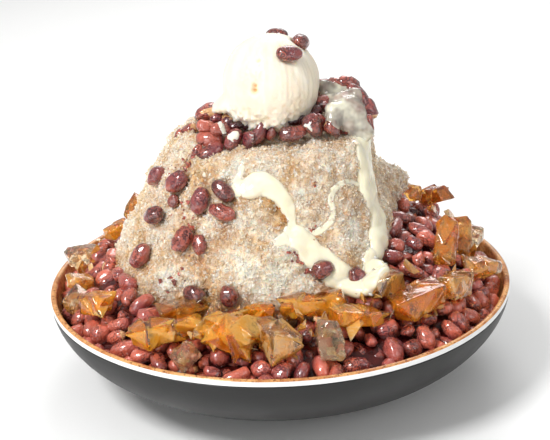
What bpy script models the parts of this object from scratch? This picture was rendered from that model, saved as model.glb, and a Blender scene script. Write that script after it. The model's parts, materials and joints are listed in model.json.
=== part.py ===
"""Shaved ice dessert in a shallow stoneware bowl.

A mountain of shaved ice stands in the bowl with a ring heap of sweet red beans round its foot. Amber jelly
chunks lie in the heap, a scoop of ice cream sits on the summit in a crown of beans, and single beans lie on
the slopes. The origin is the middle of the bowl's foot, +Z is up and the shown front faces -Y. Azimuths are
in degrees from +X, counter-clockwise seen from above. Lengths are in metres, written as millimetres * MM.
"""

import math

import bmesh
import bpy
from mathutils import Euler, Matrix, Vector, noise

MM = 0.001
GAP = 0.4 * MM
SEGMENTS = 36
NOISE_SEED = 5

# Bowl
RIM_RADIUS = 105 * MM
RIM_HEIGHT = 43 * MM
LIP_RADIUS = 1.4 * MM
LIP_STEPS = 5
WALL_THICKNESS = 2 * MM
FOOT_RADIUS = 46 * MM
FOOT_HEIGHT = 4 * MM
FOOT_WIDTH = 4 * MM
FOOT_SLANT = 1 * MM
BASE_HEIGHT = 2.5 * MM
FLOOR_HEIGHT = 8 * MM
WALL_BULGE = 1.85
WALL_STEPS = 6

# Shaved ice: radii and heights on the right, at the back, on the left and at the front
SHOULDER_HEIGHTS = (115 * MM, 121 * MM, 115 * MM, 108 * MM)
SHOULDER_RADII = (43 * MM, 38 * MM, 42 * MM, 35 * MM)
FOOT_RADII = (50 * MM, 70 * MM, 78 * MM, 62 * MM)
FLANK_CURVES = (1.3, 1.0, 0.85, 1.1)
ICE_FOOT_HEIGHT = 50 * MM
SUMMIT_HEIGHT = 115 * MM
PLUG_RADIUS = 43 * MM
PLUG_HEIGHT = 10 * MM
LUMP_SIZE = 14 * MM
LUMP_DEPTH = 1.6 * MM
LUMP_FADE = 6 * MM
SUMMIT_EDGE = 2.5 * MM
SUMMIT_SHARES = (0.45, 0.8)
FLANK_SHARES = (0, 0.08, 0.24, 0.4, 0.56, 0.72, 0.87)
# Swellings and hollows of the slope: azimuth, height, half-width in degrees, half-height, depth
SLOPE_FEATURES = (
    (-42, 60 * MM, 20, 16 * MM, 6.5 * MM),
    (-8, 66 * MM, 30, 15 * MM, 5.5 * MM),
    (-52, 90 * MM, 16, 16 * MM, 3.0 * MM),
    (-86, 84 * MM, 11, 9 * MM, -3.0 * MM),
    (-110, 68 * MM, 22, 12 * MM, 2.5 * MM),
    (-70, 72 * MM, 8, 14 * MM, -2.0 * MM),
    (26, 80 * MM, 16, 9 * MM, 21.0 * MM),
    (150, 90 * MM, 20, 14 * MM, 2.5 * MM),
    (100, 78 * MM, 24, 14 * MM, 3.5 * MM),
)

# Bean heap round the ice
HEAP_TOPS = (76 * MM, 68 * MM, 62 * MM, 56 * MM)
HEAP_SWELLS = (5.5 * MM, 5 * MM, 3 * MM, 2 * MM)
HEAP_RIM_HEIGHT = 41 * MM
HEAP_ROUGHNESS = 1.3 * MM
HEAP_TOP_SHARES = (0.2, 0.4, 0.6, 0.8)
HEAP_WALL_HEIGHTS = (HEAP_RIM_HEIGHT, 29 * MM, 18 * MM, PLUG_HEIGHT)
CONTACT_HEIGHTS = (ICE_FOOT_HEIGHT - 2 * MM, 28 * MM, PLUG_HEIGHT)
BEAN_PITCH = 9 * MM

# Ice cream
SCOOP_RADIUS = 21.6 * MM
SCOOP_CENTRE = Vector((-0.5, -2, 135.5)) * MM
SCOOP_SEAT = 115.2 * MM
SCOOP_LUMP_SIZE = 9 * MM
SCOOP_ROUGHNESS = 0.5 * MM

# Crown of beans round the scoop, by the same four sides
CROWN_PATH_RADII = (36 * MM, 31 * MM, 32 * MM, 18 * MM)
CROWN_HEIGHTS = (123.5 * MM, 121 * MM, 118.5 * MM, 116 * MM)
CROWN_HALF_WIDTHS = (9.5 * MM, 6 * MM, 6.5 * MM, 4.6 * MM)
CROWN_START = -205
CROWN_END = 62
CROWN_SECTIONS = 20
CROWN_SIDES = 8
CROWN_ROUGHNESS = 1.2 * MM

# Single beans
BEAN_DEPTH_SHARE = 0.93
BEAN_SEGMENTS = 8
BEAN_RINGS = 5
BEAN_BARREL = 0.82
# On the slope: azimuth, height, turn in degrees from level, length, width
SLOPE_BEANS = (
    (-165.5, 98 * MM, 52, 11.5 * MM, 7.0 * MM),
    (-148, 99.6 * MM, 48, 12.3 * MM, 8.6 * MM),
    (-147.5, 91.6 * MM, 84, 6.2 * MM, 5.0 * MM),
    (-153, 84.6 * MM, 28, 10.6 * MM, 8.0 * MM),
    (-132.5, 94 * MM, 78, 12.0 * MM, 8.2 * MM),
    (-121.5, 98.4 * MM, -38, 11.6 * MM, 8.0 * MM),
    (-119.5, 90.2 * MM, -16, 12.4 * MM, 7.3 * MM),
    (-135, 78.4 * MM, 66, 12.2 * MM, 8.6 * MM),
    (-127, 77.2 * MM, 100, 9.0 * MM, 6.4 * MM),
    (-152.5, 68 * MM, 68, 12.4 * MM, 8.2 * MM),
    (-123.5, 58.7 * MM, -12, 10.8 * MM, 8.0 * MM),
    (-110.5, 59.4 * MM, 95, 9.6 * MM, 8.2 * MM),
    (-70.5, 66 * MM, 20, 10.6 * MM, 8.2 * MM),
    (-56.5, 61.5 * MM, 100, 9.8 * MM, 8.2 * MM),
    (135, 100 * MM, 60, 11.6 * MM, 8.2 * MM),
    (112, 92 * MM, -30, 12.2 * MM, 8.0 * MM),
    (74, 98 * MM, 65, 11.4 * MM, 8.4 * MM),
)
# On the scoop: azimuth, angle up from the scoop's equator, turn, sinking, length, width
SCOOP_BEANS = (
    (-61, 44, -12, 0, 12.0 * MM, 7.4 * MM),
    (7, 51, -30, 1.6 * MM, 11.4 * MM, 7.8 * MM),
    (72, 60, -20, 2.4 * MM, 11.4 * MM, 7.6 * MM),
)

# Jelly chunks: azimuth, distance from the axis, rise over the heap, length, width, depth, yaw, tilt
JELLY_CHUNKS = (
    (172, 94.5, 5, 15, 10, 8, 15, 8),
    (159, 71, 8, 15, 9, 7, 70, 25),
    (163, 79, 2.5, 13, 9, 7, 40, 15),
    (-163, 95, 2, 12, 10, 8, 60, 25),
    (-170, 91, 2, 13, 8, 6, 30, -15),
    (-152, 89, 2.5, 16, 11, 8, -40, 10),
    (-124, 84, 2.5, 31, 13, 10, 4, 6),
    (-115, 92.5, 2, 12, 9, 8, 25, 30),
    (-125, 70.5, 1.5, 22, 11, 6, 18, 8),
    (-105.5, 79.5, 4, 24, 15, 10, -32, -12),
    (-91.5, 81.5, 3.5, 19, 11, 9, -58, -18),
    (-113, 69.5, 4, 12, 6, 5, 60, 66),
    (-79, 64.5, 3, 28, 9, 8, 6, 4),
    (-66, 75, 1, 22, 15, 8, 30, -14),
    (-77, 85.5, 2.5, 17, 10, 7, 96, 58),
    (-50, 69, 2, 19, 11, 8, 50, -10),
    (-46.5, 82.5, 3, 22, 15, 11, 22, 12),
    (-30, 86, 1.5, 24, 13, 10, 62, -14),
    (-15, 77, 5, 20, 10, 8, 78, 48),
    (-2, 84, 4, 18, 9, 8, 85, 52),
    (8, 92, 3, 14, 8, 7, 60, 25),
    (-13, 91.5, 3.5, 15, 10, 8, 20, -14),
    (20, 80, 6, 18, 10, 8, -50, 20),
    (40, 84, 3, 17, 10, 8, 20, 18),
    (-97, 66, 3, 15, 9, 6, -24, 12),
    (56, 78, 3, 19, 12, 9, -20, 12),
    (72, 86, 3, 21, 13, 10, 60, -14),
    (88, 79, 3, 18, 12, 9, 5, 18),
    (105, 84, 3, 24, 13, 10, -35, 8),
    (122, 78, 3, 18, 12, 9, 75, -16),
    (138, 87, 3, 20, 12, 9, 15, 14),
    (-9, 97, 6.5, 11, 7, 6, 40, -20),
)
JELLY_UNEVENNESS = 0.13
JELLY_SINK = 2 * MM


def by_side(values, azimuth):
    """The value at an azimuth, blended smoothly from those on the right, back, left and front."""
    right, back, left, front = values
    c = math.cos(math.radians(azimuth))
    s = math.sin(math.radians(azimuth))
    return (
        max(c, 0) ** 2 * right
        + max(-c, 0) ** 2 * left
        + max(s, 0) ** 2 * back
        + max(-s, 0) ** 2 * front
    )


def polar(azimuth, radius, height):
    angle = math.radians(azimuth)
    return Vector((radius * math.cos(angle), radius * math.sin(angle), height))


def bell(distance, reach):
    return math.exp(-((distance / reach) ** 2))


def angle_between(a, b):
    return (a - b + 180) % 360 - 180


# ---------------------------------------------------------------- surfaces


def wall_curve(radius_in, radius_out, height_in, height_out, steps):
    """Points (radius, height) of the bowl's round wall, from the rim down to the foot."""
    points = []
    for i in range(steps + 1):
        t = math.pi / 2 * i / steps
        across = math.cos(t) ** (2 / WALL_BULGE)
        down = math.sin(t) ** (2 / WALL_BULGE)
        points.append(
            (
                radius_in + (radius_out - radius_in) * across,
                height_out - (height_out - height_in) * down,
            )
        )
    return points


def inner_wall():
    """The inner wall's profile from the rim down, in the straight steps that the bowl is turned in."""
    inner_foot = FOOT_RADIUS - WALL_THICKNESS
    inner_rim = RIM_RADIUS - 2 * LIP_RADIUS
    return wall_curve(inner_foot, inner_rim, FLOOR_HEIGHT, RIM_HEIGHT, WALL_STEPS)


def inner_wall_radius(height):
    """Radius of the bowl's inner wall at a height."""
    profile = inner_wall()
    for (r_high, z_high), (r_low, z_low) in zip(profile, profile[1:], strict=False):
        if z_low <= height <= z_high:
            return r_low + (r_high - r_low) * (height - z_low) / (z_high - z_low)
    return profile[0][0]


def ice_radius(azimuth, height):
    """Radius of the shaved ice at an azimuth and height, swellings and hollows included."""
    foot = by_side(FOOT_RADII, azimuth)
    if height < ICE_FOOT_HEIGHT:
        share = (ICE_FOOT_HEIGHT - height) / (ICE_FOOT_HEIGHT - PLUG_HEIGHT)
        return foot + (PLUG_RADIUS - foot) * share
    shoulder_height = by_side(SHOULDER_HEIGHTS, azimuth)
    shoulder = by_side(SHOULDER_RADII, azimuth)
    share = (shoulder_height - height) / (shoulder_height - ICE_FOOT_HEIGHT)
    radius = shoulder + (foot - shoulder) * max(share, 0) ** by_side(
        FLANK_CURVES, azimuth
    )
    rise = min((height - ICE_FOOT_HEIGHT) / LUMP_FADE, 1)
    for at, level, half_width, half_height, depth in SLOPE_FEATURES:
        near = bell(angle_between(azimuth, at), half_width) * bell(
            height - level, half_height
        )
        radius += depth * near * rise
    lump = noise.noise(polar(azimuth, radius, height) / LUMP_SIZE)
    return radius + LUMP_DEPTH * lump * rise


def heap_inner_height(azimuth):
    return by_side(HEAP_TOPS, azimuth)


def heap_height(azimuth, radius):
    """Height of the bean heap's uneven top at a distance from the axis."""
    top = heap_inner_height(azimuth)
    inner = ice_radius(azimuth, top)
    outer = inner_wall_radius(HEAP_RIM_HEIGHT) - GAP
    share = min(max((radius - inner) / (outer - inner), 0), 1)
    swell = by_side(HEAP_SWELLS, azimuth) * math.sin(math.pi * share)
    lump = noise.noise(polar(azimuth, radius, 0) / BEAN_PITCH)
    lump *= HEAP_ROUGHNESS * math.sin(math.pi * share)
    return top + (HEAP_RIM_HEIGHT - top) * share + swell + lump


# ---------------------------------------------------------------- mesh helpers


def make_object(name, bm, material, smooth=True):
    mesh = bpy.data.meshes.new(name)
    bm.to_mesh(mesh)
    bm.free()
    mesh.materials.append(material)
    if smooth:
        mesh.shade_smooth()
        mesh.set_sharp_from_angle(angle=math.radians(40))
    piece = bpy.data.objects.new(name, mesh)
    bpy.context.scene.collection.objects.link(piece)
    return piece


def bridge(bm, first, second):
    """Triangles between two rings of equally many points, always on the same diagonal."""
    count = len(first)
    for i in range(count):
        j = (i + 1) % count
        bm.faces.new((first[i], first[j], second[j]))
        bm.faces.new((first[i], second[j], second[i]))


def fan(bm, ring, centre, upward):
    count = len(ring)
    middle = bm.verts.new(centre)
    for i in range(count):
        pair = (ring[i], ring[(i + 1) % count])
        bm.faces.new((*pair, middle) if upward else (*reversed(pair), middle))


def seat(piece, neighbour, clearance=GAP):
    """Cuts a seat for neighbour into piece, with a small clearance all round."""
    cutter = neighbour.copy()
    cutter.data = neighbour.data.copy()
    cutter.modifiers.clear()
    cutter.name = "cutter_" + neighbour.name
    bpy.context.scene.collection.objects.link(cutter)
    swell = cutter.modifiers.new("clearance", "DISPLACE")
    swell.strength = clearance * 1.2
    swell.mid_level = 0
    cutter.hide_render = True
    cutter.display_type = "WIRE"
    cut = piece.modifiers.new("seat_" + neighbour.name, "BOOLEAN")
    cut.operation = "DIFFERENCE"
    cut.object = cutter


def boxes_meet(first, second, clearance=GAP):
    """Whether the boxes round two pieces touch or overlap."""
    sides = []
    for piece in (first, second):
        corners = [piece.matrix_world @ v.co for v in piece.data.vertices]
        sides.append(
            [(min(c[k] for c in corners), max(c[k] for c in corners)) for k in range(3)]
        )
    return all(
        a[0] - clearance < b[1] and b[0] - clearance < a[1]
        for a, b in zip(*sides, strict=True)
    )


def make_material(name, colour, roughness, transmission=0.0):
    material = bpy.data.materials.new(name)
    material.use_nodes = True
    shader = material.node_tree.nodes["Principled BSDF"]
    shader.inputs["Base Color"].default_value = (*colour, 1)
    shader.inputs["Roughness"].default_value = roughness
    shader.inputs["Metallic"].default_value = 0
    shader.inputs["Transmission Weight"].default_value = transmission
    material.diffuse_color = (*colour, 1)
    return material


# ---------------------------------------------------------------- pieces


def make_bowl(material):
    """One turned piece: inner wall, round lip, outer wall, foot ring and recessed base."""
    outer = wall_curve(FOOT_RADIUS, RIM_RADIUS, FOOT_HEIGHT, RIM_HEIGHT, WALL_STEPS)
    lip = []
    for i in range(1, LIP_STEPS):
        turn = math.pi * (1 - i / LIP_STEPS)
        lip.append(
            (
                RIM_RADIUS - LIP_RADIUS + LIP_RADIUS * math.cos(turn),
                RIM_HEIGHT + LIP_RADIUS * math.sin(turn),
            )
        )
    foot = [
        (FOOT_RADIUS - FOOT_SLANT, 0),
        (FOOT_RADIUS - FOOT_WIDTH, 0),
        (FOOT_RADIUS - FOOT_WIDTH - FOOT_SLANT, BASE_HEIGHT),
        (0, BASE_HEIGHT),
    ]
    profile = [(0, FLOOR_HEIGHT), *reversed(inner_wall()), *lip, *outer, *foot]
    bm = bmesh.new()
    points = [bm.verts.new((radius, 0, height)) for radius, height in profile]
    for a, b in zip(points, points[1:], strict=False):
        bm.edges.new((a, b))
    bowl = make_object("bowl", bm, material, smooth=False)
    turn = bowl.modifiers.new("turned", "SCREW")
    turn.steps = SEGMENTS
    turn.render_steps = SEGMENTS
    turn.use_merge_vertices = True
    turn.merge_threshold = 0.0001
    turn.use_smooth_shade = True
    return bowl


def azimuths():
    return [360 * i / SEGMENTS for i in range(SEGMENTS)]


def contact_heights(azimuth):
    """Heights at which ice and heap both have a ring, from the heap's inner edge down."""
    return [heap_inner_height(azimuth), *CONTACT_HEIGHTS]


def make_ice(material):
    """The ice mountain, from its dished summit down to the plug inside the bowl."""
    bm = bmesh.new()
    rings = []
    for share in SUMMIT_SHARES:
        ring = []
        for azimuth in azimuths():
            shoulder = by_side(SHOULDER_HEIGHTS, azimuth)
            radius = ice_radius(azimuth, shoulder) * share
            height = shoulder + (SUMMIT_HEIGHT - shoulder) * (1 - share**2)
            ring.append(polar(azimuth, radius, height))
        rings.append(ring)
    for share in FLANK_SHARES:
        ring = []
        for azimuth in azimuths():
            top = by_side(SHOULDER_HEIGHTS, azimuth)
            height = top + (heap_inner_height(azimuth) - top) * share
            radius = ice_radius(azimuth, height)
            if share == 0:
                radius -= SUMMIT_EDGE
            ring.append(polar(azimuth, radius, height))
        rings.append(ring)
    for level in range(1 + len(CONTACT_HEIGHTS)):
        ring = []
        for azimuth in azimuths():
            height = contact_heights(azimuth)[level]
            ring.append(polar(azimuth, ice_radius(azimuth, height), height))
        rings.append(ring)
    rows = [[bm.verts.new(point) for point in ring] for ring in rings]
    fan(bm, rows[0], (0, 0, SUMMIT_HEIGHT), upward=True)
    for upper, lower in zip(rows, rows[1:], strict=False):
        bridge(bm, lower, upper)
    fan(bm, rows[-1], (0, 0, PLUG_HEIGHT), upward=False)
    return make_object("shaved_ice", bm, material)


def make_heap(material):
    """The ring heap of beans: its inner face follows the ice and its outer face the bowl's wall."""
    bm = bmesh.new()
    rows = []
    for azimuth in azimuths():
        section = []
        for height in reversed(contact_heights(azimuth)):
            radius = ice_radius(azimuth, height) + 1.5 * GAP
            section.append(polar(azimuth, radius, height))
        inner = ice_radius(azimuth, heap_inner_height(azimuth))
        outer = inner_wall_radius(HEAP_RIM_HEIGHT)
        for share in HEAP_TOP_SHARES:
            radius = inner + (outer - inner) * share
            section.append(polar(azimuth, radius, heap_height(azimuth, radius)))
        for height in HEAP_WALL_HEIGHTS:
            radius = inner_wall_radius(height) - 1.5 * GAP
            section.append(polar(azimuth, radius, height))
        rows.append([bm.verts.new(point) for point in section])
    for i, row in enumerate(rows):
        bridge(bm, row, rows[(i + 1) % len(rows)])
    bmesh.ops.recalc_face_normals(bm, faces=bm.faces)
    return make_object("red_bean_heap", bm, material)


def make_scoop(material):
    """A ball of ice cream, a little uneven, with a flat foot where it sits."""
    bm = bmesh.new()
    bmesh.ops.create_uvsphere(bm, u_segments=20, v_segments=12, radius=SCOOP_RADIUS)
    for vertex in bm.verts:
        uneven = noise.noise(vertex.co / SCOOP_LUMP_SIZE) * SCOOP_ROUGHNESS
        vertex.co += vertex.co.normalized() * uneven + SCOOP_CENTRE
        vertex.co.z = max(vertex.co.z, SCOOP_SEAT)
    return make_object("ice_cream", bm, material)


def make_crown(material):
    """The crescent of beans round the scoop's foot, highest on the right."""
    bm = bmesh.new()
    rows = []
    for i in range(CROWN_SECTIONS):
        share = i / (CROWN_SECTIONS - 1)
        azimuth = CROWN_START + (CROWN_END - CROWN_START) * share
        taper = math.sin(math.pi * (0.06 + 0.88 * share)) ** 0.35
        middle = polar(
            azimuth,
            by_side(CROWN_PATH_RADII, azimuth),
            by_side(CROWN_HEIGHTS, azimuth),
        )
        outward = polar(azimuth, 1, 0)
        row = []
        for j in range(CROWN_SIDES):
            turn = 2 * math.pi * j / CROWN_SIDES
            size = by_side(CROWN_HALF_WIDTHS, azimuth) * taper
            point = middle + outward * math.cos(turn) * size
            point.z += math.sin(turn) * size * 0.95
            point += outward * noise.noise(point / BEAN_PITCH) * CROWN_ROUGHNESS
            row.append(bm.verts.new(point))
        rows.append(row)
    for first, second in zip(rows, rows[1:], strict=False):
        bridge(bm, first, second)
    for row, upward in ((rows[0], True), (rows[-1], False)):
        centre = sum((v.co for v in row), Vector()) / len(row)
        fan(bm, row, centre, upward)
    bmesh.ops.recalc_face_normals(bm, faces=bm.faces)
    return make_object("red_bean_crown", bm, material)


def barrel(direction, power):
    """A direction on the unit ball moved outwards, so that the ball becomes a blunt barrel."""
    total = sum(abs(c) ** (2 / power) for c in direction)
    return direction / total ** (power / 2)


def make_bean(name, place, outward, turn, length, width, material):
    """A blunt oval bean lying at place, its long side turned from level about the outward direction."""
    bm = bmesh.new()
    bmesh.ops.create_uvsphere(
        bm, u_segments=BEAN_SEGMENTS, v_segments=BEAN_RINGS, radius=1
    )
    half = Vector((width, width * BEAN_DEPTH_SHARE, length)) / 2
    for vertex in bm.verts:
        round_point = barrel(vertex.co.normalized(), BEAN_BARREL)
        vertex.co = Vector(a * b for a, b in zip(round_point, half, strict=True))
    level = Vector((0, 0, 1)).cross(outward)
    level.normalize()
    long_side = Matrix.Rotation(math.radians(turn), 3, outward) @ level
    side = outward.cross(long_side)
    frame = Matrix((side, outward, long_side)).transposed()
    bm.transform(frame.to_4x4())
    bm.transform(Matrix.Translation(place))
    return make_object(name, bm, material)


def slope_normal(azimuth, height):
    step = 2 * MM
    along = polar(azimuth + 2, ice_radius(azimuth + 2, height), height) - polar(
        azimuth - 2, ice_radius(azimuth - 2, height), height
    )
    up = polar(azimuth, ice_radius(azimuth, height + step), height + step) - polar(
        azimuth, ice_radius(azimuth, height - step), height - step
    )
    return along.cross(up).normalized()


def make_beans(material):
    beans = []
    for i, (azimuth, height, turn, length, width) in enumerate(SLOPE_BEANS):
        outward = slope_normal(azimuth, height)
        surface = polar(azimuth, ice_radius(azimuth, height), height)
        place = surface + outward * width * 0.25
        name = f"slope_bean_{i + 1:02d}"
        beans.append(make_bean(name, place, outward, turn, length, width, material))
    for i, (azimuth, lift, turn, sinking, length, width) in enumerate(SCOOP_BEANS):
        outward = polar(
            azimuth, math.cos(math.radians(lift)), math.sin(math.radians(lift))
        )
        place = SCOOP_CENTRE + outward * (SCOOP_RADIUS + width * 0.25 - sinking)
        name = f"scoop_bean_{i + 1:02d}"
        beans.append(make_bean(name, place, outward, turn, length, width, material))
    return beans


def make_jelly(name, row, seed, material):
    """An uneven torn block of jelly: a box of three by two by two cells with its points pushed about."""
    azimuth, radius, rise, length, width, depth, yaw, tilt = row
    bm = bmesh.new()
    bmesh.ops.create_cube(bm, size=1)
    long_edges = [e for e in bm.edges if abs(e.verts[0].co.x - e.verts[1].co.x) > 0.5]
    bmesh.ops.subdivide_edges(bm, edges=long_edges, cuts=2, use_grid_fill=True)
    bmesh.ops.triangulate(bm, faces=bm.faces)
    size = Vector((length, width, depth)) * MM
    for vertex in bm.verts:
        push = noise.noise_vector(vertex.co * 1.7 + Vector((seed, 0, 0)))
        end = 1 - 0.22 * abs(vertex.co.x) * (1 + math.sin(seed * 1.9))
        point = Vector((vertex.co.x, vertex.co.y * end, vertex.co.z * end))
        point += push * JELLY_UNEVENNESS
        vertex.co = Vector(a * b for a, b in zip(point, size, strict=True))
    turn = Euler((0, math.radians(-tilt), math.radians(yaw)), "XYZ")
    lift = rise * MM - JELLY_SINK
    place = polar(azimuth, radius * MM, heap_height(azimuth, radius * MM) + lift)
    bm.transform(Matrix.Translation(place) @ turn.to_matrix().to_4x4())
    return make_object(name, bm, material, smooth=False)


def build():
    for leftover in list(bpy.data.objects):
        bpy.data.objects.remove(leftover)
    noise.seed_set(NOISE_SEED)
    stoneware = make_material("stoneware", (0.05, 0.05, 0.05), 0.55)
    ice_grain = make_material("shaved_ice", (0.78, 0.66, 0.52), 0.4)
    bean_skin = make_material("red_bean", (0.16, 0.025, 0.03), 0.25)
    cream = make_material("ice_cream", (0.9, 0.83, 0.68), 0.45)
    amber = make_material("jelly", (0.9, 0.45, 0.1), 0.05, transmission=0.9)

    make_bowl(stoneware)
    ice = make_ice(ice_grain)
    heap = make_heap(bean_skin)
    scoop = make_scoop(cream)
    crown = make_crown(bean_skin)
    beans = make_beans(bean_skin)
    chunks = []
    for i, row in enumerate(JELLY_CHUNKS):
        chunks.append(make_jelly(f"jelly_{i + 1:02d}", row, i + 1, amber))

    seat(ice, scoop)
    seat(ice, crown)
    seat(crown, scoop)
    for topping in [*beans, *chunks]:
        for base in (ice, heap, scoop, crown):
            if boxes_meet(topping, base):
                seat(base, topping)
    for i, chunk in enumerate(chunks):
        for neighbour in [*beans, *chunks[:i]]:
            if boxes_meet(chunk, neighbour):
                seat(chunk, neighbour)


build()
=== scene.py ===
"""Bingsu: a mound of shaved ice in its bowl, with red beans, jelly, ice cream and condensed milk.

Laid out as a Blender add-on and run as a script. Lengths are in metres, written as
millimetres * MM. Azimuths are in degrees from +X, counter-clockwise seen from above, and the
front faces -Y.
"""

import json
import math

import bmesh
import bpy
import numpy as np
from bpy.props import FloatProperty, FloatVectorProperty, IntProperty, PointerProperty
from mathutils import Matrix, Vector, noise
from mathutils.bvhtree import BVHTree

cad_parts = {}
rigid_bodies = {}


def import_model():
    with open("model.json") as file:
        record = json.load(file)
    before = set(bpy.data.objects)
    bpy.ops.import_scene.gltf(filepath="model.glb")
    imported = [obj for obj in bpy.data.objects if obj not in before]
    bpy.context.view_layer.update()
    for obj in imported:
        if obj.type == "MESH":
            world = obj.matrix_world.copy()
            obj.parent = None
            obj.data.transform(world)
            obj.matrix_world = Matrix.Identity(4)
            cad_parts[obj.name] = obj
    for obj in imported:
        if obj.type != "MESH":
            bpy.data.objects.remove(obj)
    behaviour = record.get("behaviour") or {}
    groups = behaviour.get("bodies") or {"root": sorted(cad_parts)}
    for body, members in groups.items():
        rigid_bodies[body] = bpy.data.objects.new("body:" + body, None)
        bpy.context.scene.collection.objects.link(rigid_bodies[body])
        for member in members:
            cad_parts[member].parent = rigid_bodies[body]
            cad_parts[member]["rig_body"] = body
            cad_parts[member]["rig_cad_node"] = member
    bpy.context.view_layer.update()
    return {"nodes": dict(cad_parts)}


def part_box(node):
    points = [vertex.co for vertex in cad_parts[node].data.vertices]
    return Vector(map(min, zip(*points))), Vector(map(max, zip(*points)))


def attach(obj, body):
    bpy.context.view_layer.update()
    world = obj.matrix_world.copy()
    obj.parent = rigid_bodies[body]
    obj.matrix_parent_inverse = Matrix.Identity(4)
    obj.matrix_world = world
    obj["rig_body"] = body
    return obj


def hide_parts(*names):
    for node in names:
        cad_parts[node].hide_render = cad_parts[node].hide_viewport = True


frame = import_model()

bl_info = {
    "name": "Bingsu",
    "version": (1, 0, 0),
    "blender": (4, 5, 0),
    "location": "3D View > Sidebar > Bingsu",
    "description": "Shaved ice with red beans, jelly, ice cream and condensed milk in its bowl",
    "category": "Add Mesh",
}

MM = 0.001
SEED = 11
# A height, and a distance from the middle, beyond the whole part
BEYOND = 0.2

# Sizes read from the frame
BOWL_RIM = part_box("bowl")[1].x
BOWL_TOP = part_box("bowl")[1].z
SCOOP_LOW, SCOOP_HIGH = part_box("ice_cream")
SCOOP_RADIUS = (SCOOP_HIGH.x - SCOOP_LOW.x) / 2
SCOOP_CENTRE = Vector(
    (
        (SCOOP_LOW.x + SCOOP_HIGH.x) / 2,
        (SCOOP_LOW.y + SCOOP_HIGH.y) / 2,
        SCOOP_HIGH.z - SCOOP_RADIUS,
    )
)
JELLY_NODES = sorted(n for n in frame["nodes"] if n.startswith("jelly_"))
SLOPE_NODES = sorted(n for n in frame["nodes"] if n.startswith("slope_bean_"))
SCOOP_NODES = sorted(n for n in frame["nodes"] if n.startswith("scoop_bean_"))


def linear(code):
    """A colour given as sRGB hex, as linear red, green, blue and alpha."""
    parts = [int(code[i : i + 2], 16) / 255 for i in (1, 3, 5)]
    parts = [c / 12.92 if c <= 0.04045 else ((c + 0.055) / 1.055) ** 2.4 for c in parts]
    return (*parts, 1.0)


def dimmed(colour, share):
    """A colour with that share of its light."""
    return (*(share * c for c in colour[:3]), 1.0)


def colour_property(name, code, description):
    return FloatVectorProperty(
        name=name,
        description=description,
        subtype="COLOR",
        size=4,
        min=0,
        max=1,
        default=linear(code),
    )


def length_property(name, millimetres, description):
    return FloatProperty(
        name=name,
        description=description,
        unit="LENGTH",
        min=0,
        default=millimetres * MM,
    )


# ---------------------------------------------------------------- settings


class BowlSettings(bpy.types.PropertyGroup):
    steps: IntProperty(
        name="Steps", description="Steps that the bowl is turned in", default=192, min=32
    )
    rim_band: length_property("Rim band", 2.6, "Height of the white band at the rim")
    outside: colour_property("Outside", "#161514", "Matte glaze outside")
    rim: colour_property("Rim", "#EFEFEE", "White glaze of the rim band")
    inside: colour_property("Inside", "#DDA468", "Tan glaze inside")
    inside_dark: colour_property("Inside, dark", "#AC6232", "Iron spots of the glaze")


class IceSettings(bpy.types.PropertyGroup):
    voxel: length_property("Voxel", 0.85, "Mesh size of the mound")
    grain: length_property("Grain", 1.5, "Size of the shaved grains")
    grains: IntProperty(
        name="Grains", description="Loose grains of each kind", default=22000, min=0
    )
    flakes: IntProperty(name="Flakes", description="Larger clear flakes", default=16000, min=0)
    white: colour_property("White", "#FFE8CA", "Clean ice")
    syrup: colour_property("Syrup", "#E9C598", "Ice stained by the syrup")
    deep: colour_property("Deep syrup", "#C48E52", "Wet, strongly stained ice")
    blush: colour_property("Blush", "#C98E70", "Ice stained by the beans")


class BeanSettings(bpy.types.PropertyGroup):
    length: length_property("Length", 11.2, "Length of a bean")
    width: length_property("Width", 8.0, "Width of a bean")
    dark: colour_property("Dark skin", "#551713", "Darkest bean skin")
    light: colour_property("Light skin", "#D86F58", "Lightest bean skin")
    flesh: colour_property("Flesh", "#E3B07C", "Inside of a burst bean")


class JellySettings(bpy.types.PropertyGroup):
    shards: IntProperty(name="Shards", description="Small torn shards", default=90, min=0)
    amber: colour_property("Amber", "#FFB634", "Colour of the amber chunks")
    honey: colour_property("Honey", "#FFBE5A", "Colour of the half-clear chunks")
    clear: colour_property("Clear", "#FFEAC6", "Colour of the clear chunks")


class CreamSettings(bpy.types.PropertyGroup):
    voxel: length_property("Voxel", 0.6, "Mesh size of the scoop")
    cream: colour_property("Cream", "#F2E8D6", "Ice cream")
    custard: colour_property("Custard", "#E6CB96", "Ice cream in its hollows")


class MilkSettings(bpy.types.PropertyGroup):
    thickness: length_property("Thickness", 1.7, "Thickness of the poured milk")
    milk: colour_property("Milk", "#F9EFD3", "Condensed milk")


class StageSettings(bpy.types.PropertyGroup):
    floor: colour_property("Floor", "#FAFAF9", "Floor")
    distance: length_property("Distance", 600, "Camera distance")
    elevation: FloatProperty(
        name="Elevation",
        description="Camera angle above level",
        subtype="ANGLE",
        default=math.radians(21.24),
    )


class BingsuSettings(bpy.types.PropertyGroup):
    bowl: PointerProperty(type=BowlSettings)
    ice: PointerProperty(type=IceSettings)
    beans: PointerProperty(type=BeanSettings)
    jelly: PointerProperty(type=JellySettings)
    cream: PointerProperty(type=CreamSettings)
    milk: PointerProperty(type=MilkSettings)
    stage: PointerProperty(type=StageSettings)


def settings():
    return bpy.context.scene.bingsu


# ---------------------------------------------------------------- small helpers


def polar(azimuth, radius, height):
    angle = math.radians(azimuth)
    return Vector((radius * math.cos(angle), radius * math.sin(angle), height))


def bell(distance, reach):
    """1 at no distance, falling softly to nothing a little beyond the reach."""
    return np.exp(-((distance / reach) ** 2))


def unit_rows(rows):
    return rows / np.linalg.norm(rows, axis=1, keepdims=True)


def activate(piece):
    bpy.ops.object.select_all(action="DESELECT")
    piece.select_set(True)
    bpy.context.view_layer.objects.active = piece


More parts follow.
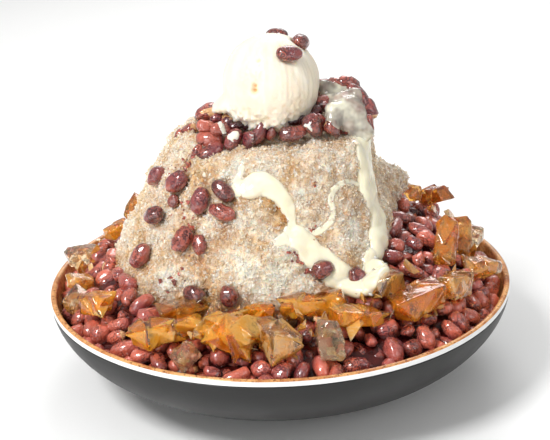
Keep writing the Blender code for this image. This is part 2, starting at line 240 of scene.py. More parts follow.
def shade_smooth(piece):
    activate(piece)
    bpy.ops.object.shade_smooth()


def in_edit_mode(piece, *steps):
    """Runs edit-mode steps on a piece, each on whatever the last one left selected."""
    activate(piece)
    bpy.ops.object.mode_set(mode="EDIT")
    bpy.ops.mesh.select_all(action="SELECT")
    for step in steps:
        step()
    bpy.ops.object.mode_set(mode="OBJECT")


def cut_below(piece, height):
    """Cuts away what lies below a height, and closes the cut."""
    in_edit_mode(
        piece,
        lambda: bpy.ops.mesh.bisect(
            plane_co=(0, 0, height), plane_no=(0, 0, 1), use_fill=True, clear_inner=True
        ),
    )


def duplicate(piece, name):
    """A copy of a piece, with a mesh of its own."""
    copy = piece.copy()
    copy.data = piece.data.copy()
    copy.name = name
    bpy.context.scene.collection.objects.link(copy)
    return copy


def copy_node(node, name):
    """A copy of a CAD node's mesh as a piece of its own, its loose triangles merged."""
    piece = duplicate(frame["nodes"][node], name)
    piece.data.name = name
    piece.parent = None
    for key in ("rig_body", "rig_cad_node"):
        if key in piece:
            del piece[key]
    piece.hide_render = False
    piece.hide_viewport = False
    piece.data.materials.clear()
    in_edit_mode(
        piece,
        lambda: bpy.ops.mesh.remove_doubles(threshold=0.01 * MM),
        lambda: bpy.ops.mesh.customdata_custom_splitnormals_clear()
        if piece.data.has_custom_normals
        else None,
    )
    return piece


def apply_modifier(piece, kind, **values):
    activate(piece)
    modifier = piece.modifiers.new(kind.lower(), kind)
    for key, value in values.items():
        setattr(modifier, key, value)
    bpy.ops.object.modifier_apply(modifier=modifier.name)


def relief(piece, kind, size, depth, middle=0.5):
    """Pushes the surface in and out along its normals by a solid noise of that size."""
    texture = bpy.data.textures.new(piece.name + "_relief", kind)
    texture.noise_scale = size
    if kind == "CLOUDS":
        texture.noise_depth = 1
    apply_modifier(
        piece,
        "DISPLACE",
        texture=texture,
        texture_coords="LOCAL",
        strength=depth,
        mid_level=middle,
    )


def smooth(piece, rounds):
    apply_modifier(piece, "SMOOTH", factor=0.5, iterations=rounds)


def remesh(piece, size):
    apply_modifier(piece, "REMESH", mode="VOXEL", voxel_size=size)


def points_of(piece):
    points = np.empty(len(piece.data.vertices) * 3, np.float32)
    piece.data.vertices.foreach_get("co", points)
    return points.reshape(-1, 3).astype(float)


def normals_of(piece):
    normals = np.empty(len(piece.data.vertices) * 3, np.float32)
    piece.data.vertex_normals.foreach_get("vector", normals)
    return normals.reshape(-1, 3).astype(float)


def set_points(piece, points):
    piece.data.vertices.foreach_set("co", points.astype(np.float32).ravel())
    piece.data.update()


def set_attribute(piece, name, values, domain="POINT"):
    attribute = piece.data.attributes.new(name, "FLOAT", domain)
    attribute.data.foreach_set("value", np.asarray(values, np.float32).ravel())


def tree_of(piece):
    """A search tree over a piece's surface."""
    corners = [v.co.copy() for v in piece.data.vertices]
    return BVHTree.FromPolygons(corners, [list(f.vertices) for f in piece.data.polygons])


def finish_piece(piece, material, slot, *nodes):
    piece.data.materials.clear()
    piece.data.materials.append(material)
    ride_along(piece, slot, *nodes)


def ride_along(piece, slot, *nodes):
    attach(piece, "root")
    if nodes:
        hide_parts(*nodes)


def mesh_from(name, points, faces, edges=()):
    mesh = bpy.data.meshes.new(name)
    mesh.from_pydata([tuple(p) for p in points], edges, faces)
    mesh.update()
    piece = bpy.data.objects.new(name, mesh)
    bpy.context.scene.collection.objects.link(piece)
    return piece


def gather(shapes):
    """Many shapes, each its corners and faces, as one."""
    corners, faces, start = [], [], 0
    for shape, shape_faces in shapes:
        corners.append(shape)
        faces += [[start + i for i in face] for face in shape_faces]
        start += len(shape)
    return np.vstack(corners), faces


def remove(piece):
    bpy.data.objects.remove(piece)


# ---------------------------------------------------------------- materials

ICE_IOR = 1.31
JELLY_IOR = 1.36


def feed(node, values):
    """Gives a node's inputs, by name or number, plain values or other nodes' outputs."""
    for key, value in values.items():
        if isinstance(value, bpy.types.NodeSocket):
            node.id_data.links.new(value, node.inputs[key])
        else:
            node.inputs[key].default_value = value


def add_node(tree, kind, inputs=None, **properties):
    """Adds a shader node with its properties and inputs."""
    node = tree.nodes.new("ShaderNode" + kind)
    for key, value in properties.items():
        setattr(node, key, value)
    feed(node, inputs or {})
    return node


def new_material(name):
    material = bpy.data.materials.new(name)
    material.use_nodes = True
    tree = material.node_tree
    tree.nodes.clear()
    shader = add_node(tree, "BsdfPrincipled")
    add_node(tree, "OutputMaterial", {"Surface": shader.outputs[0]})
    return material, tree, shader


def soft(weight, radius, depth):
    """Shader inputs of a stuff that light scatters in."""
    return {"Subsurface Weight": weight, "Subsurface Radius": radius, "Subsurface Scale": depth}


def wet(roughness, ior=1.5):
    """Shader inputs of a wet layer over a surface."""
    return {"Coat Weight": 1.0, "Coat Roughness": roughness, "Coat IOR": ior}


def place_of(tree):
    return add_node(tree, "TexCoord").outputs["Object"]


def solid_noise(tree, size, detail=3.0, roughness=0.55, distortion=0.0):
    """Noise with features of that size, in metres."""
    inputs = {
        "Vector": place_of(tree),
        "Scale": 1 / size,
        "Detail": detail,
        "Roughness": roughness,
        "Distortion": distortion,
    }
    return add_node(tree, "TexNoise", inputs).outputs["Fac"]


def between(tree, source, low, high, to_low=0.0, to_high=1.0):
    """Maps a value from one range to another and holds it there."""
    inputs = {
        "Value": source,
        "From Min": low,
        "From Max": high,
        "To Min": to_low,
        "To Max": to_high,
    }
    return add_node(tree, "MapRange", inputs).outputs["Result"]


def layered(tree, colour, *layers):
    """A colour with others laid over it in turn, each after how strongly it covers."""
    for amount, over in layers:
        mixed = add_node(tree, "Mix", {0: amount, 6: colour, 7: over}, data_type="RGBA")
        colour = mixed.outputs[2]
    return colour


def attribute(tree, name):
    return add_node(tree, "Attribute", attribute_name=name).outputs["Fac"]


def math_node(tree, operation, first, second=0):
    return add_node(tree, "Math", {0: first, 1: second}, operation=operation).outputs[0]


def bump(tree, shader, height, distance, strength=1.0):
    inputs = {"Height": height, "Distance": distance, "Strength": strength}
    feed(shader, {"Normal": add_node(tree, "Bump", inputs).outputs["Normal"]})


def matte_glaze_material(look):
    """Matte iron glaze on stoneware, sprayed and fired: near black, dry, with a fine even grit."""
    material, tree, shader = new_material("Stoneware, matte black glaze")
    fine = solid_noise(tree, 1.2 * MM, 2)
    grit = between(tree, fine, 0.35, 0.7)
    roughness = between(tree, solid_noise(tree, 30 * MM, 2), 0.3, 0.7, 0.42, 0.55)
    colour = layered(tree, look.outside, (grit, dimmed(look.outside, 0.82)))
    feed(shader, {"Base Color": colour, "Roughness": roughness})
    bump(tree, shader, fine, 0.05 * MM, 0.5)
    return material


def white_glaze_material(look):
    """Dipped white gloss glaze of the rim band: bright and smooth, thinner where it ran."""
    material, tree, shader = new_material("Stoneware, white gloss glaze")
    broad = solid_noise(tree, 9 * MM, 2)
    thinner = (between(tree, broad, 0.35, 0.75), dimmed(look.rim, 0.93))
    feed(shader, {"Base Color": layered(tree, look.rim, thinner), "Roughness": 0.18})
    bump(tree, shader, broad, 0.06 * MM, 0.5)
    return material


def tan_glaze_material(look):
    """Reactive tan glaze inside: glossy, pooled orange-brown with darker iron runs and specks."""
    material, tree, shader = new_material("Stoneware, reactive tan glaze")
    runs = between(tree, solid_noise(tree, 7 * MM, 4, 0.65), 0.42, 0.68)
    specks = between(tree, solid_noise(tree, 1.1 * MM, 2), 0.56, 0.66)
    layers = ((runs, look.inside_dark), (specks, dimmed(look.inside_dark, 0.5)))
    feed(shader, {"Base Color": layered(tree, look.inside, *layers), "Roughness": 0.15})
    return material


def ice_colour(tree, look, tone):
    """Colour of the ice from its stains. Tone, 0 to 1, is the grain's own, from dark and wet to
    frosty."""
    clumps = solid_noise(tree, 2.6 * MM, 2, 0.6)
    patches = solid_noise(tree, 11 * MM, 3, 0.55)
    frost = attribute(tree, "frost")
    tone = math_node(tree, "ADD", tone, between(tree, clumps, 0.34, 0.66, -0.4, 0.35))
    tone = math_node(tree, "ADD", tone, math_node(tree, "MULTIPLY", frost, 0.45))
    uneven = between(tree, patches, 0.36, 0.64, -0.25, 0.6)
    stain = math_node(tree, "ADD", attribute(tree, "syrup"), uneven)
    uneven = between(tree, patches, 0.35, 0.65, 0.2, 0.9)
    blush = math_node(tree, "MULTIPLY", attribute(tree, "blush"), uneven)
    uneven = between(tree, patches, 0.35, 0.6, 0.4, 0.9)
    grey = math_node(tree, "MULTIPLY", attribute(tree, "grey"), uneven)
    return layered(
        tree,
        look.white,
        (between(tree, stain, 0.0, 0.7), look.syrup),
        (between(tree, stain, 0.7, 1.2), look.deep),
        (between(tree, stain, 1.3, 1.7), linear("#C9782C")),
        (blush, look.blush),
        (grey, linear("#D9B796")),
        (frost, linear("#FFF1D8")),
        (between(tree, tone, 0.45, 0.0, 0, 0.5), look.deep),
        (between(tree, tone, 0.68, 1.0, 0, 0.75), linear("#FFF6E2")),
    )


def ice_material(look):
    """Packed shaved ice, wet with syrup: translucent, darker between the grains."""
    material, tree, shader = new_material("Shaved ice with syrup")
    cells = {"Vector": place_of(tree), "Scale": 1 / look.grain}
    grains = add_node(tree, "TexVoronoi", cells)
    tone = add_node(tree, "RGBToBW", {"Color": grains.outputs["Color"]}).outputs[0]
    values = {
        "Base Color": ice_colour(tree, look, between(tree, tone, 0.1, 0.9, 0.05, 0.85)),
        "Roughness": between(tree, tone, 0.2, 0.8, 0.1, 0.35),
        "IOR": ICE_IOR,
    }
    feed(shader, {**values, **soft(0.8, (1.0, 0.75, 0.5), 4 * MM)})
    fine = solid_noise(tree, 0.8 * MM, 3, 0.7)
    height = math_node(tree, "ADD", grains.outputs["Distance"], fine)
    bump(tree, shader, height, 0.6 * MM, 0.9)
    return material


def grain_material(look, name, roughness):
    """Loose grains of shaved ice, each frosty, syrupy or clear on its own."""
    material, tree, shader = new_material(name)
    colour = ice_colour(tree, look, attribute(tree, "tone"))
    values = {"Base Color": colour, "Roughness": roughness, "IOR": ICE_IOR}
    feed(shader, {**values, **soft(0.7, (1.0, 0.8, 0.6), 3 * MM)})
    return material


def bean_material(look):
    """Skin of a boiled red bean in syrup: thin and glossy, here taut, there creased, with painted
    shade darkening the folds, and near-black painted shade where the tone runs low."""
    material, tree, shader = new_material("Red bean skin, glazed with syrup")
    mottle = solid_noise(tree, 4.2 * MM, 3, 0.6)
    waves = solid_noise(tree, 2.6 * MM, 1.5, 0.5, 1.4)
    away = math_node(tree, "ABSOLUTE", math_node(tree, "SUBTRACT", waves, 0.5))
    creased = between(tree, solid_noise(tree, 11 * MM, 1), 0.4, 0.58, 0.2, 1)
    fold = math_node(tree, "MULTIPLY", between(tree, away, 0.07, 0.0), creased)
    own = attribute(tree, "tone")
    tone = math_node(tree, "ADD", own, between(tree, mottle, 0.3, 0.7, -0.2, 0.24))
    # Painted shade: the skin is painted darker along the creases of the folds
    tone = math_node(tree, "ADD", tone, between(tree, fold, 0, 1, 0.14, -0.7))
    purple = between(tree, solid_noise(tree, 13 * MM, 1), 0.5, 0.62, 0, 0.4)
    colour = layered(
        tree,
        look.dark,
        (between(tree, tone, 0, 1), look.light),
        (purple, linear("#7C3446")),
        (attribute(tree, "flesh"), look.flesh),
        # Painted shade: where the tone attribute falls below 0.05, on bean undersides and deep in
        # the heap, the skin turns near black
        (between(tree, own, 0.05, -0.55), linear("#210503")),
    )
    values = {"Base Color": colour, "Roughness": between(tree, mottle, 0.3, 0.7, 0.2, 0.34)}
    feed(shader, {**values, **soft(0.1, (1.0, 0.3, 0.2), 1.2 * MM), **wet(0.03, 1.6)})
    creases = math_node(tree, "MULTIPLY", fold, -0.5)
    height = math_node(tree, "ADD", creases, math_node(tree, "MULTIPLY", waves, 0.8))
    bump(tree, shader, height, 0.9 * MM, 0.9)
    return material


def bean_paste_material(look):
    """Syrup and crushed beans between the whole ones: dark and wet."""
    material, tree, shader = new_material("Bean syrup")
    lumps = solid_noise(tree, 4 * MM, 3)
    skins = (between(tree, lumps, 0.35, 0.65), look.dark)
    feed(shader, {"Base Color": layered(tree, dimmed(look.dark, 0.35), skins), "Roughness": 0.25})
    bump(tree, shader, lumps, 0.8 * MM)
    return material


def jelly_material(name, first, second, cloudy, clear):
    """Agar jelly, torn by hand: wet and glassy, one torn face cloudier, the next clearer."""
    material, tree, shader = new_material(name)
    streaks = between(tree, solid_noise(tree, 2.8 * MM, 2, 0.6, 2.5), 0.35, 0.65, -0.22, 0.22)
    drift = between(tree, solid_noise(tree, 7 * MM, 1), 0.35, 0.65, -0.25, 0.25)
    drift = math_node(tree, "ADD", drift, streaks)
    tone = math_node(tree, "ADD", attribute(tree, "tone"), drift)
    window = math_node(tree, "ADD", attribute(tree, "window"), drift)
    values = {
        "Base Color": layered(tree, first, (between(tree, tone, 0.45, 1.15), second)),
        "Transmission Weight": between(tree, window, 0.3, 0.95, cloudy, clear),
        "Roughness": 0.03,
        "IOR": JELLY_IOR,
    }
    feed(shader, {**values, **soft(0.4, (1.0, 1.0, 1.0), 1.2 * MM), **wet(0.02)})
    bump(tree, shader, solid_noise(tree, 2.8 * MM, 1, 0.5, 1.5), 0.6 * MM, 0.7)
    return material


def cream_material(look):
    """Vanilla ice cream, churned and scooped: soft ivory, yellower in its torn hollows."""
    material, tree, shader = new_material("Vanilla ice cream")
    broad = solid_noise(tree, 14 * MM, 3)
    torn = attribute(tree, "torn")
    hollows = math_node(tree, "ADD", torn, between(tree, broad, 0.45, 0.8, 0, 0.2))
    pits = between(tree, torn, 0.7, 1.2)
    values = {
        "Base Color": layered(
            tree, look.cream, (hollows, look.custard), (pits, linear("#D98F3C"))
        ),
        "Roughness": between(tree, broad, 0.3, 0.7, 0.35, 0.5),
    }
    feed(shader, {**values, **soft(0.7, (1.0, 0.8, 0.55), 3 * MM)})
    bump(tree, shader, solid_noise(tree, 1.1 * MM, 3), 0.25 * MM, 0.5)
    return material


def milk_material(look):
    """Sweetened condensed milk: thick, smooth and glossy, pale yellow cream."""
    material, tree, shader = new_material("Condensed milk")
    broad = solid_noise(tree, 8 * MM, 2)
    thin = (between(tree, broad, 0.35, 0.7), dimmed(look.milk, 0.9))
    values = {"Base Color": layered(tree, look.milk, thin), "Roughness": 0.16}
    feed(shader, {**values, **soft(0.6, (1.0, 0.85, 0.5), 2 * MM)})
    bump(tree, shader, broad, 0.3 * MM, 0.4)
    return material


def thin_milk_material():
    """Condensed milk thinned by the melting ice: a veil that the dark beans show through."""
    material, tree, shader = new_material("Condensed milk, thin")
    broad = solid_noise(tree, 7 * MM, 2)
    thick = (between(tree, broad, 0.35, 0.65), linear("#E8E5D0"))
    values = {
        "Base Color": layered(tree, linear("#B4ADA2"), thick),
        "Alpha": between(tree, broad, 0.35, 0.65, 0.42, 0.86),
        "Roughness": 0.12,
    }
    feed(shader, {**values, **soft(0.3, (1.0, 0.85, 0.6), 1 * MM), **wet(0.03)})
    bump(tree, shader, solid_noise(tree, 3 * MM, 2), 0.5 * MM, 0.5)
    return material


def floor_material(look):
    """Matt laminated board: pale, even, with a faint tooth."""
    material, tree, shader = new_material("Matt white board")
    tooth = (solid_noise(tree, 2 * MM, 2), dimmed(look.floor, 0.985))
    feed(shader, {"Base Color": layered(tree, look.floor, tooth), "Roughness": 0.7})
    return material


# ---------------------------------------------------------------- bowl

FOOT_RADIUS = 46 * MM
FOOT_HEIGHT = 4 * MM
FLOOR_HEIGHT = 8 * MM
LIP_RADIUS = 1.4 * MM
WALL_BULGE = 1.85
WALL_STEPS = 28
LIP_STEPS = 16
# Foot ring, from outside in: distance in from the foot's radius and height, in millimetres
FOOT_RING = ((0.4, 0.6), (1, 0), (4, 0), (4.6, 0.6), (5, 2.5))
FOOT_HOLLOW = 2.5 * MM
# Groove under the white band: distance in from the rim and down from the band, in millimetres
GROOVE = ((0.05, 0), (0.4, 0.15), (0.4, 0.4), (0.15, 0.6))
GROOVE_WIDTH = 0.8 * MM
# How far round the lip the white band reaches
BAND_TURN = math.radians(35)


def wall_curve(radius_in, radius_out, height_in, height_out):
    """Points (radius, height) of a round bowl wall, from the rim down."""
    points = []
    for i in range(WALL_STEPS + 1):
        t = math.pi / 2 * i / WALL_STEPS
        across = math.cos(t) ** (2 / WALL_BULGE)
        down = math.sin(t) ** (2 / WALL_BULGE)
        radius = radius_in + (radius_out - radius_in) * across
        points.append((radius, height_out - (height_out - height_in) * down))
    return points


def inner_wall():
    inside_rim = BOWL_RIM - 2 * LIP_RADIUS
    return wall_curve(FOOT_RADIUS - 2 * MM, inside_rim, FLOOR_HEIGHT, BOWL_TOP - LIP_RADIUS)


def inner_wall_radius(height):
    """Radius of the bowl's inner wall at a height, or at each of an array."""
    profile = np.array(inner_wall()[::-1])
    return np.interp(height, profile[:, 1], profile[:, 0])


def bowl_profile(rim_height, band_foot):
    """Points (radius, height) that the bowl is turned from: its floor, inside, lip and outside."""
    lip = []
    for i in range(1, LIP_STEPS):
        turn = math.pi * (1 - i / LIP_STEPS)
        across = BOWL_RIM - LIP_RADIUS + LIP_RADIUS * math.cos(turn)
        lip.append((across, rim_height + LIP_RADIUS * math.sin(turn)))
    groove = [(BOWL_RIM - across * MM, band_foot - down * MM) for across, down in GROOVE]
    outer = wall_curve(FOOT_RADIUS, BOWL_RIM, FOOT_HEIGHT, rim_height)
    outer = [p for p in outer if p[1] < band_foot - GROOVE_WIDTH]
    foot = [(FOOT_RADIUS - across * MM, height * MM) for across, height in FOOT_RING]
    inner = [(0, FLOOR_HEIGHT), *reversed(inner_wall())]
    return [*inner, *lip, *groove, *outer, *foot, (0, FOOT_HOLLOW)]


def make_bowl():
    """The bowl, turned in one piece and dipped in three glazes."""
    look = settings().bowl
    rim_height = BOWL_TOP - LIP_RADIUS
    band_foot = BOWL_TOP - look.rim_band
    profile = bowl_profile(rim_height, band_foot)
    edges = [(i, i + 1) for i in range(len(profile) - 1)]
    bowl = mesh_from("stoneware_bowl", [(r, 0, z) for r, z in profile], [], edges)
    in_edit_mode(
        bowl,
        lambda: bpy.ops.mesh.spin(
            steps=look.steps, angle=2 * math.pi, center=(0, 0, 0), axis=(0, 0, 1)
        ),
        lambda: bpy.ops.mesh.select_all(action="SELECT"),
        lambda: bpy.ops.mesh.remove_doubles(threshold=0.02 * MM),
        lambda: bpy.ops.mesh.normals_make_consistent(inside=False),
    )
    for glaze in (matte_glaze_material, white_glaze_material, tan_glaze_material):
        bowl.data.materials.append(glaze(look))
    outside, band, inside = range(3)
    for face in bowl.data.polygons:
        x, y, z = face.center
        radius = math.hypot(x, y)
        lip_angle = math.atan2(z - rim_height, radius - BOWL_RIM + LIP_RADIUS)
        if z < band_foot and (radius > inner_wall_radius(z) + 1 * MM or z < 3 * MM):
            face.material_index = outside
        elif z > band_foot and lip_angle < BAND_TURN and radius > BOWL_RIM - LIP_RADIUS:
            face.material_index = band
        else:
            face.material_index = inside
    activate(bowl)
    bpy.ops.object.shade_smooth_by_angle(angle=math.radians(40))
    ride_along(bowl, "bowl", "bowl")


# ---------------------------------------------------------------- ice

ICE_CUT_HEIGHT = 43 * MM

# Relief of the mound, coarse to fine: kind of noise, size and depth in millimetres
ICE_RELIEF = (("CLOUDS", 14, 4.0), ("VORONOI", 7, -2.4), ("CLOUDS", 4, 2.6))
# Where the heap stains the ice, and where the loose grains begin
HEAP_HEIGHT = 52 * MM
GRAINS_LOWEST = 46 * MM

# Ice stained by syrup: azimuth, height, reach, strength
SYRUP_PLACES = (
    (-95, 90, 9, 0.5),
    (-85, 86.5, 4, 1.3),
    (-88.8, 83.5, 3, 2.2),
    (-110, 97, 2, 1.1),
    (-104, 98.3, 2, 1.1),
    (-98.5, 98, 2, 1.1),
    (-93, 95.3, 2, 1.2),
    (-89, 91.8, 2, 1.2),
    (-85.8, 88, 2, 1.3),
    (-98, 76, 12, 0.4),
    (-150, 62, 22, 0.6),
    (-128, 74, 18, 0.5),
    (-115, 60, 16, 0.6),
    (-112, 96, 7, 0.6),
    (-140, 100, 12, 0.6),
    (-80, 105, 7, 0.6),
    (-60, 58, 14, 0.7),
    (-25, 70, 14, 0.5),
    (-20, 96, 9, 0.8),
    (60, 80, 18, 0.4),
    (100, 95, 22, 0.5),
    (130, 65, 18, 0.5),
    (170, 85, 22, 0.5),
)

# Grey, wet ice: azimuth, height, reach, strength
GREY_PLACES = (
    (-45, 85, 16, 0.9),
    (-35, 65, 12, 0.9),
    (-20, 68, 12, 1.0),
    (-62, 88, 10, 0.8),
    (-60, 105, 14, 0.8),
    (-88, 110, 12, 0.7),
    (20, 95, 22, 0.7),
    (120, 90, 16, 0.5),
)

# Frosty, snow-white lumps: azimuth, height, reach, strength
FROST_PLACES = (
    (-52, 77, 5, 1.0),
    (-48, 80, 4, 0.9),
    (-46, 72, 4, 0.6),
    (-88, 78.5, 5, 0.9),
    (-84, 76, 5, 0.8),
    (-90, 66, 9, 0.9),
    (-98, 62, 7, 0.8),
    (-80, 62, 6, 0.8),
    (-57.5, 106.5, 2.5, 0.8),
    (-62, 102.5, 2.5, 0.8),
    (-66, 98.6, 2.5, 0.8),
    (-74.5, 97, 3, 0.7),
    (-108, 88, 6, 0.6),
    (-138, 62, 7, 0.9),
    (-128, 60, 5, 0.8),
    (-118, 106, 5, 0.7),
    (-125, 84, 5, 0.5),
    (-95, 107, 6, 0.5),
    (-150, 75, 6, 0.5),
    (-106, 70, 8, 0.8),
    (30, 88, 9, 0.6),
    (80, 75, 12, 0.6),
    (150, 95, 10, 0.5),
    (-175, 70, 8, 0.5),
)


def spots(points, tree, places):
    """Strength at each point of round soft spots on a surface, each given as azimuth, height, reach
    and strength."""
    result = np.zeros(len(points))
    for azimuth, height, reach, strength in places:
        centre = np.array(flank_point(tree, azimuth, height * MM))
        distance = np.linalg.norm(points - centre, axis=1)
        result = np.maximum(result, strength * bell(distance, reach * MM))
    return result


def ice_stains(points):
    """Syrup, bean stain, greyness and frost at each point, from where syrup and beans lie."""
    tree = tree_of(frame["nodes"]["shaved_ice"])
    blush = np.zeros(len(points))
    for name in SLOPE_NODES:
        centre = points_of(frame["nodes"][name]).mean(0)
        below = points - centre + np.array([0, 0, 3 * MM])
        distance = np.linalg.norm(below * np.array([1, 1, 0.6]), axis=1)
        blush = np.maximum(blush, 0.75 * bell(distance, 8.5 * MM))
    nearest = np.full(len(points), np.inf)
    for centre in points_of(frame["nodes"]["red_bean_crown"])[::4]:
        distance = np.linalg.norm((points - centre) * np.array([1, 1, 0.7]), axis=1)
        nearest = np.minimum(nearest, distance)
    blush = np.maximum(blush, 0.5 * bell(nearest, 7 * MM))
    foot = bell(np.maximum(points[:, 2] - HEAP_HEIGHT, 0), 12 * MM)
    return {
        "syrup": np.maximum(spots(points, tree, SYRUP_PLACES), 0.6 * foot),
        "blush": np.maximum(blush, 0.35 * foot),
        "grey": spots(points, tree, GREY_PLACES),
        "frost": spots(points, tree, FROST_PLACES),
    }


def flank_point(tree, azimuth, height):
    """Where a level line from outside meets the surface at an azimuth and height."""
    start = polar(azimuth, BEYOND, height)
    inwards = polar(azimuth, -1, 0)
    hit = tree.ray_cast(start, inwards)[0]
    return hit if hit is not None else polar(azimuth, 30 * MM, height)


def make_ice():
    """The mound of packed ice: the CAD's own, made rough and stained."""
    look = settings().ice
    mound = copy_node("shaved_ice", "ice_mound")
    cut_below(mound, ICE_CUT_HEIGHT)
    remesh(mound, look.voxel)
    smooth(mound, 6)
    for kind, size, depth in ICE_RELIEF:
        relief(mound, kind, size * MM, depth * MM)
    for name, values in ice_stains(points_of(mound)).items():
        set_attribute(mound, name, values)
    shade_smooth(mound)
    finish_piece(mound, ice_material(look), "shaved_ice", "shaved_ice")


# A grain: an uneven eight-sided crystal about 2 units across
GRAIN_CORNERS = np.array(
    [(1, 0, 0), (0, 0.8, 0), (-0.9, 0, 0), (0, -0.8, 0), (0, 0, 0.7), (0, 0, -0.7)]
)

GRAIN_FACES = np.array(
    [(0, 1, 4), (1, 2, 4), (2, 3, 4), (3, 0, 4), (1, 0, 5), (2, 1, 5), (3, 2, 5), (0, 3, 5)]
)


# Loose grains: name, size and spread of sizes in millimetres, range of tones, how far the
# shape is drawn out along each axis, and roughness
GRAIN_KINDS = (
    ("frost_grains", 0.4, 0.25, (0.25, 1.0), (1, 1, 1), 0.35),
    ("syrup_grains", 0.38, 0.22, (0.0, 0.7), (1, 1, 1), 0.12),
    ("clear_flakes", 0.52, 0.3, (0.5, 1.0), (1.2, 0.75, 0.5), 0.06),
)


def random_turns(rng, count):
    """Evenly random rotation matrices."""
    w, x, y, z = rng.normal(size=(count, 4)).T
    length = np.sqrt(w * w + x * x + y * y + z * z)
    w, x, y, z = w / length, x / length, y / length, z / length
    rows = [
        [1 - 2 * (y * y + z * z), 2 * (x * y - z * w), 2 * (x * z + y * w)],
        [2 * (x * y + z * w), 1 - 2 * (x * x + z * z), 2 * (y * z - x * w)],
        [2 * (x * z - y * w), 2 * (y * z + x * w), 1 - 2 * (x * x + y * y)],
    ]
    return np.moveaxis(np.array(rows), 2, 0)


def scatter(piece, count, rng, lowest):
    """Random places on a piece's surface above a height: their points, their normals and the index
    of a vertex beside each."""
    mesh = piece.data
    mesh.calc_loop_triangles()
    corners = np.empty(len(mesh.loop_triangles) * 3, np.int32)
    mesh.loop_triangles.foreach_get("vertices", corners)
    corners = corners.reshape(-1, 3)
    points = points_of(piece)
    a, b, c = (points[corners[:, i]] for i in range(3))
    cross = np.cross(b - a, c - a)
    area = np.linalg.norm(cross, axis=1)
    weight = area * (a[:, 2] > lowest)
    chosen = rng.choice(len(area), count, p=weight / weight.sum())
    shares = rng.dirichlet(np.ones(3), count)
    places = sum(shares[:, i : i + 1] * points[corners[chosen, i]] for i in range(3))
    normals = cross[chosen] / area[chosen][:, None]
    return places, normals, corners[chosen, 0]


def join_shapes(name, centres, turns, sizes, stretch):
    """One mesh of many grains, each turned, sized and pulled about."""
    shapes = GRAIN_CORNERS[None] * stretch * sizes[:, None, None]
    shapes = np.einsum("nij,nkj->nki", turns, shapes) + centres[:, None]
    starts = np.arange(len(centres)) * len(GRAIN_CORNERS)
    faces = GRAIN_FACES[None] + starts[:, None, None]
    return mesh_from(name, shapes.reshape(-1, 3), faces.reshape(-1, 3).tolist())


def make_grains():
    """Loose grains all over the mound: frosty ones, syrupy ones and larger clear flakes."""
    look = settings().ice
    mound = bpy.data.objects["ice_mound"]
    stains = {}
    for name in ("syrup", "blush", "grey", "frost"):
        stains[name] = np.empty(len(mound.data.vertices), np.float32)
        mound.data.attributes[name].data.foreach_get("value", stains[name])
    counts = {
        "frost_grains": look.grains,
        "syrup_grains": look.grains // 2,
        "clear_flakes": look.flakes,
    }
    corners = len(GRAIN_CORNERS)
    for number, (name, size, spread, tones, shape, roughness) in enumerate(GRAIN_KINDS):
        count = counts[name]
        rng = np.random.default_rng(SEED + number)
        centres, normals, vertices = scatter(mound, count, rng, GRAINS_LOWEST)
        sizes = (size + np.minimum(rng.exponential(spread, count), 3 * spread)) * MM
        stretch = rng.uniform(0.5, 1.5, (count, corners, 1)) * np.array(shape)
        centres = centres + normals * sizes[:, None] * rng.uniform(-0.45, 0.3, (count, 1))
        turns = random_turns(rng, count)
        grains = join_shapes(name, centres, turns, sizes, stretch)
        for stain, values in stains.items():
            set_attribute(grains, stain, np.repeat(values[vertices], corners))
        set_attribute(grains, "tone", np.repeat(rng.uniform(*tones, count), corners))
        if name == "syrup_grains":
            shade_smooth(grains)
        material = grain_material(look, name.replace("_", " ").capitalize(), roughness)
        finish_piece(grains, material, "shaved_ice")


# ---------------------------------------------------------------- beans

# Shapes of bean: share of the usual length, width and depth, bend, wrinkle in millimetres, and
# for a burst one which way its torn side faces along and across
BEAN_KINDS = (
    (1.0, 1.0, 0.96, 6, 0.35, None),
    (0.86, 1.08, 1.02, 0, 0.45, None),
    (1.1, 0.93, 0.9, 14, 0.5, None),
    (0.95, 0.98, 0.84, 10, 0.95, None),
    (1.0, 1.05, 1.0, 4, 0.6, (0.2, 0.75)),
    (0.9, 1.0, 0.95, 0, 0.6, (0.75, 0.1)),
    (0.8, 0.95, 0.9, 0, 0.4, None),
    (1.04, 0.9, 0.88, -8, 0.8, None),
    (0.92, 1.05, 0.92, 4, 0.5, None),
)

# How common each shape is
KIND_SHARES = (0.17, 0.14, 0.13, 0.12, 0.05, 0.05, 0.12, 0.11, 0.11)

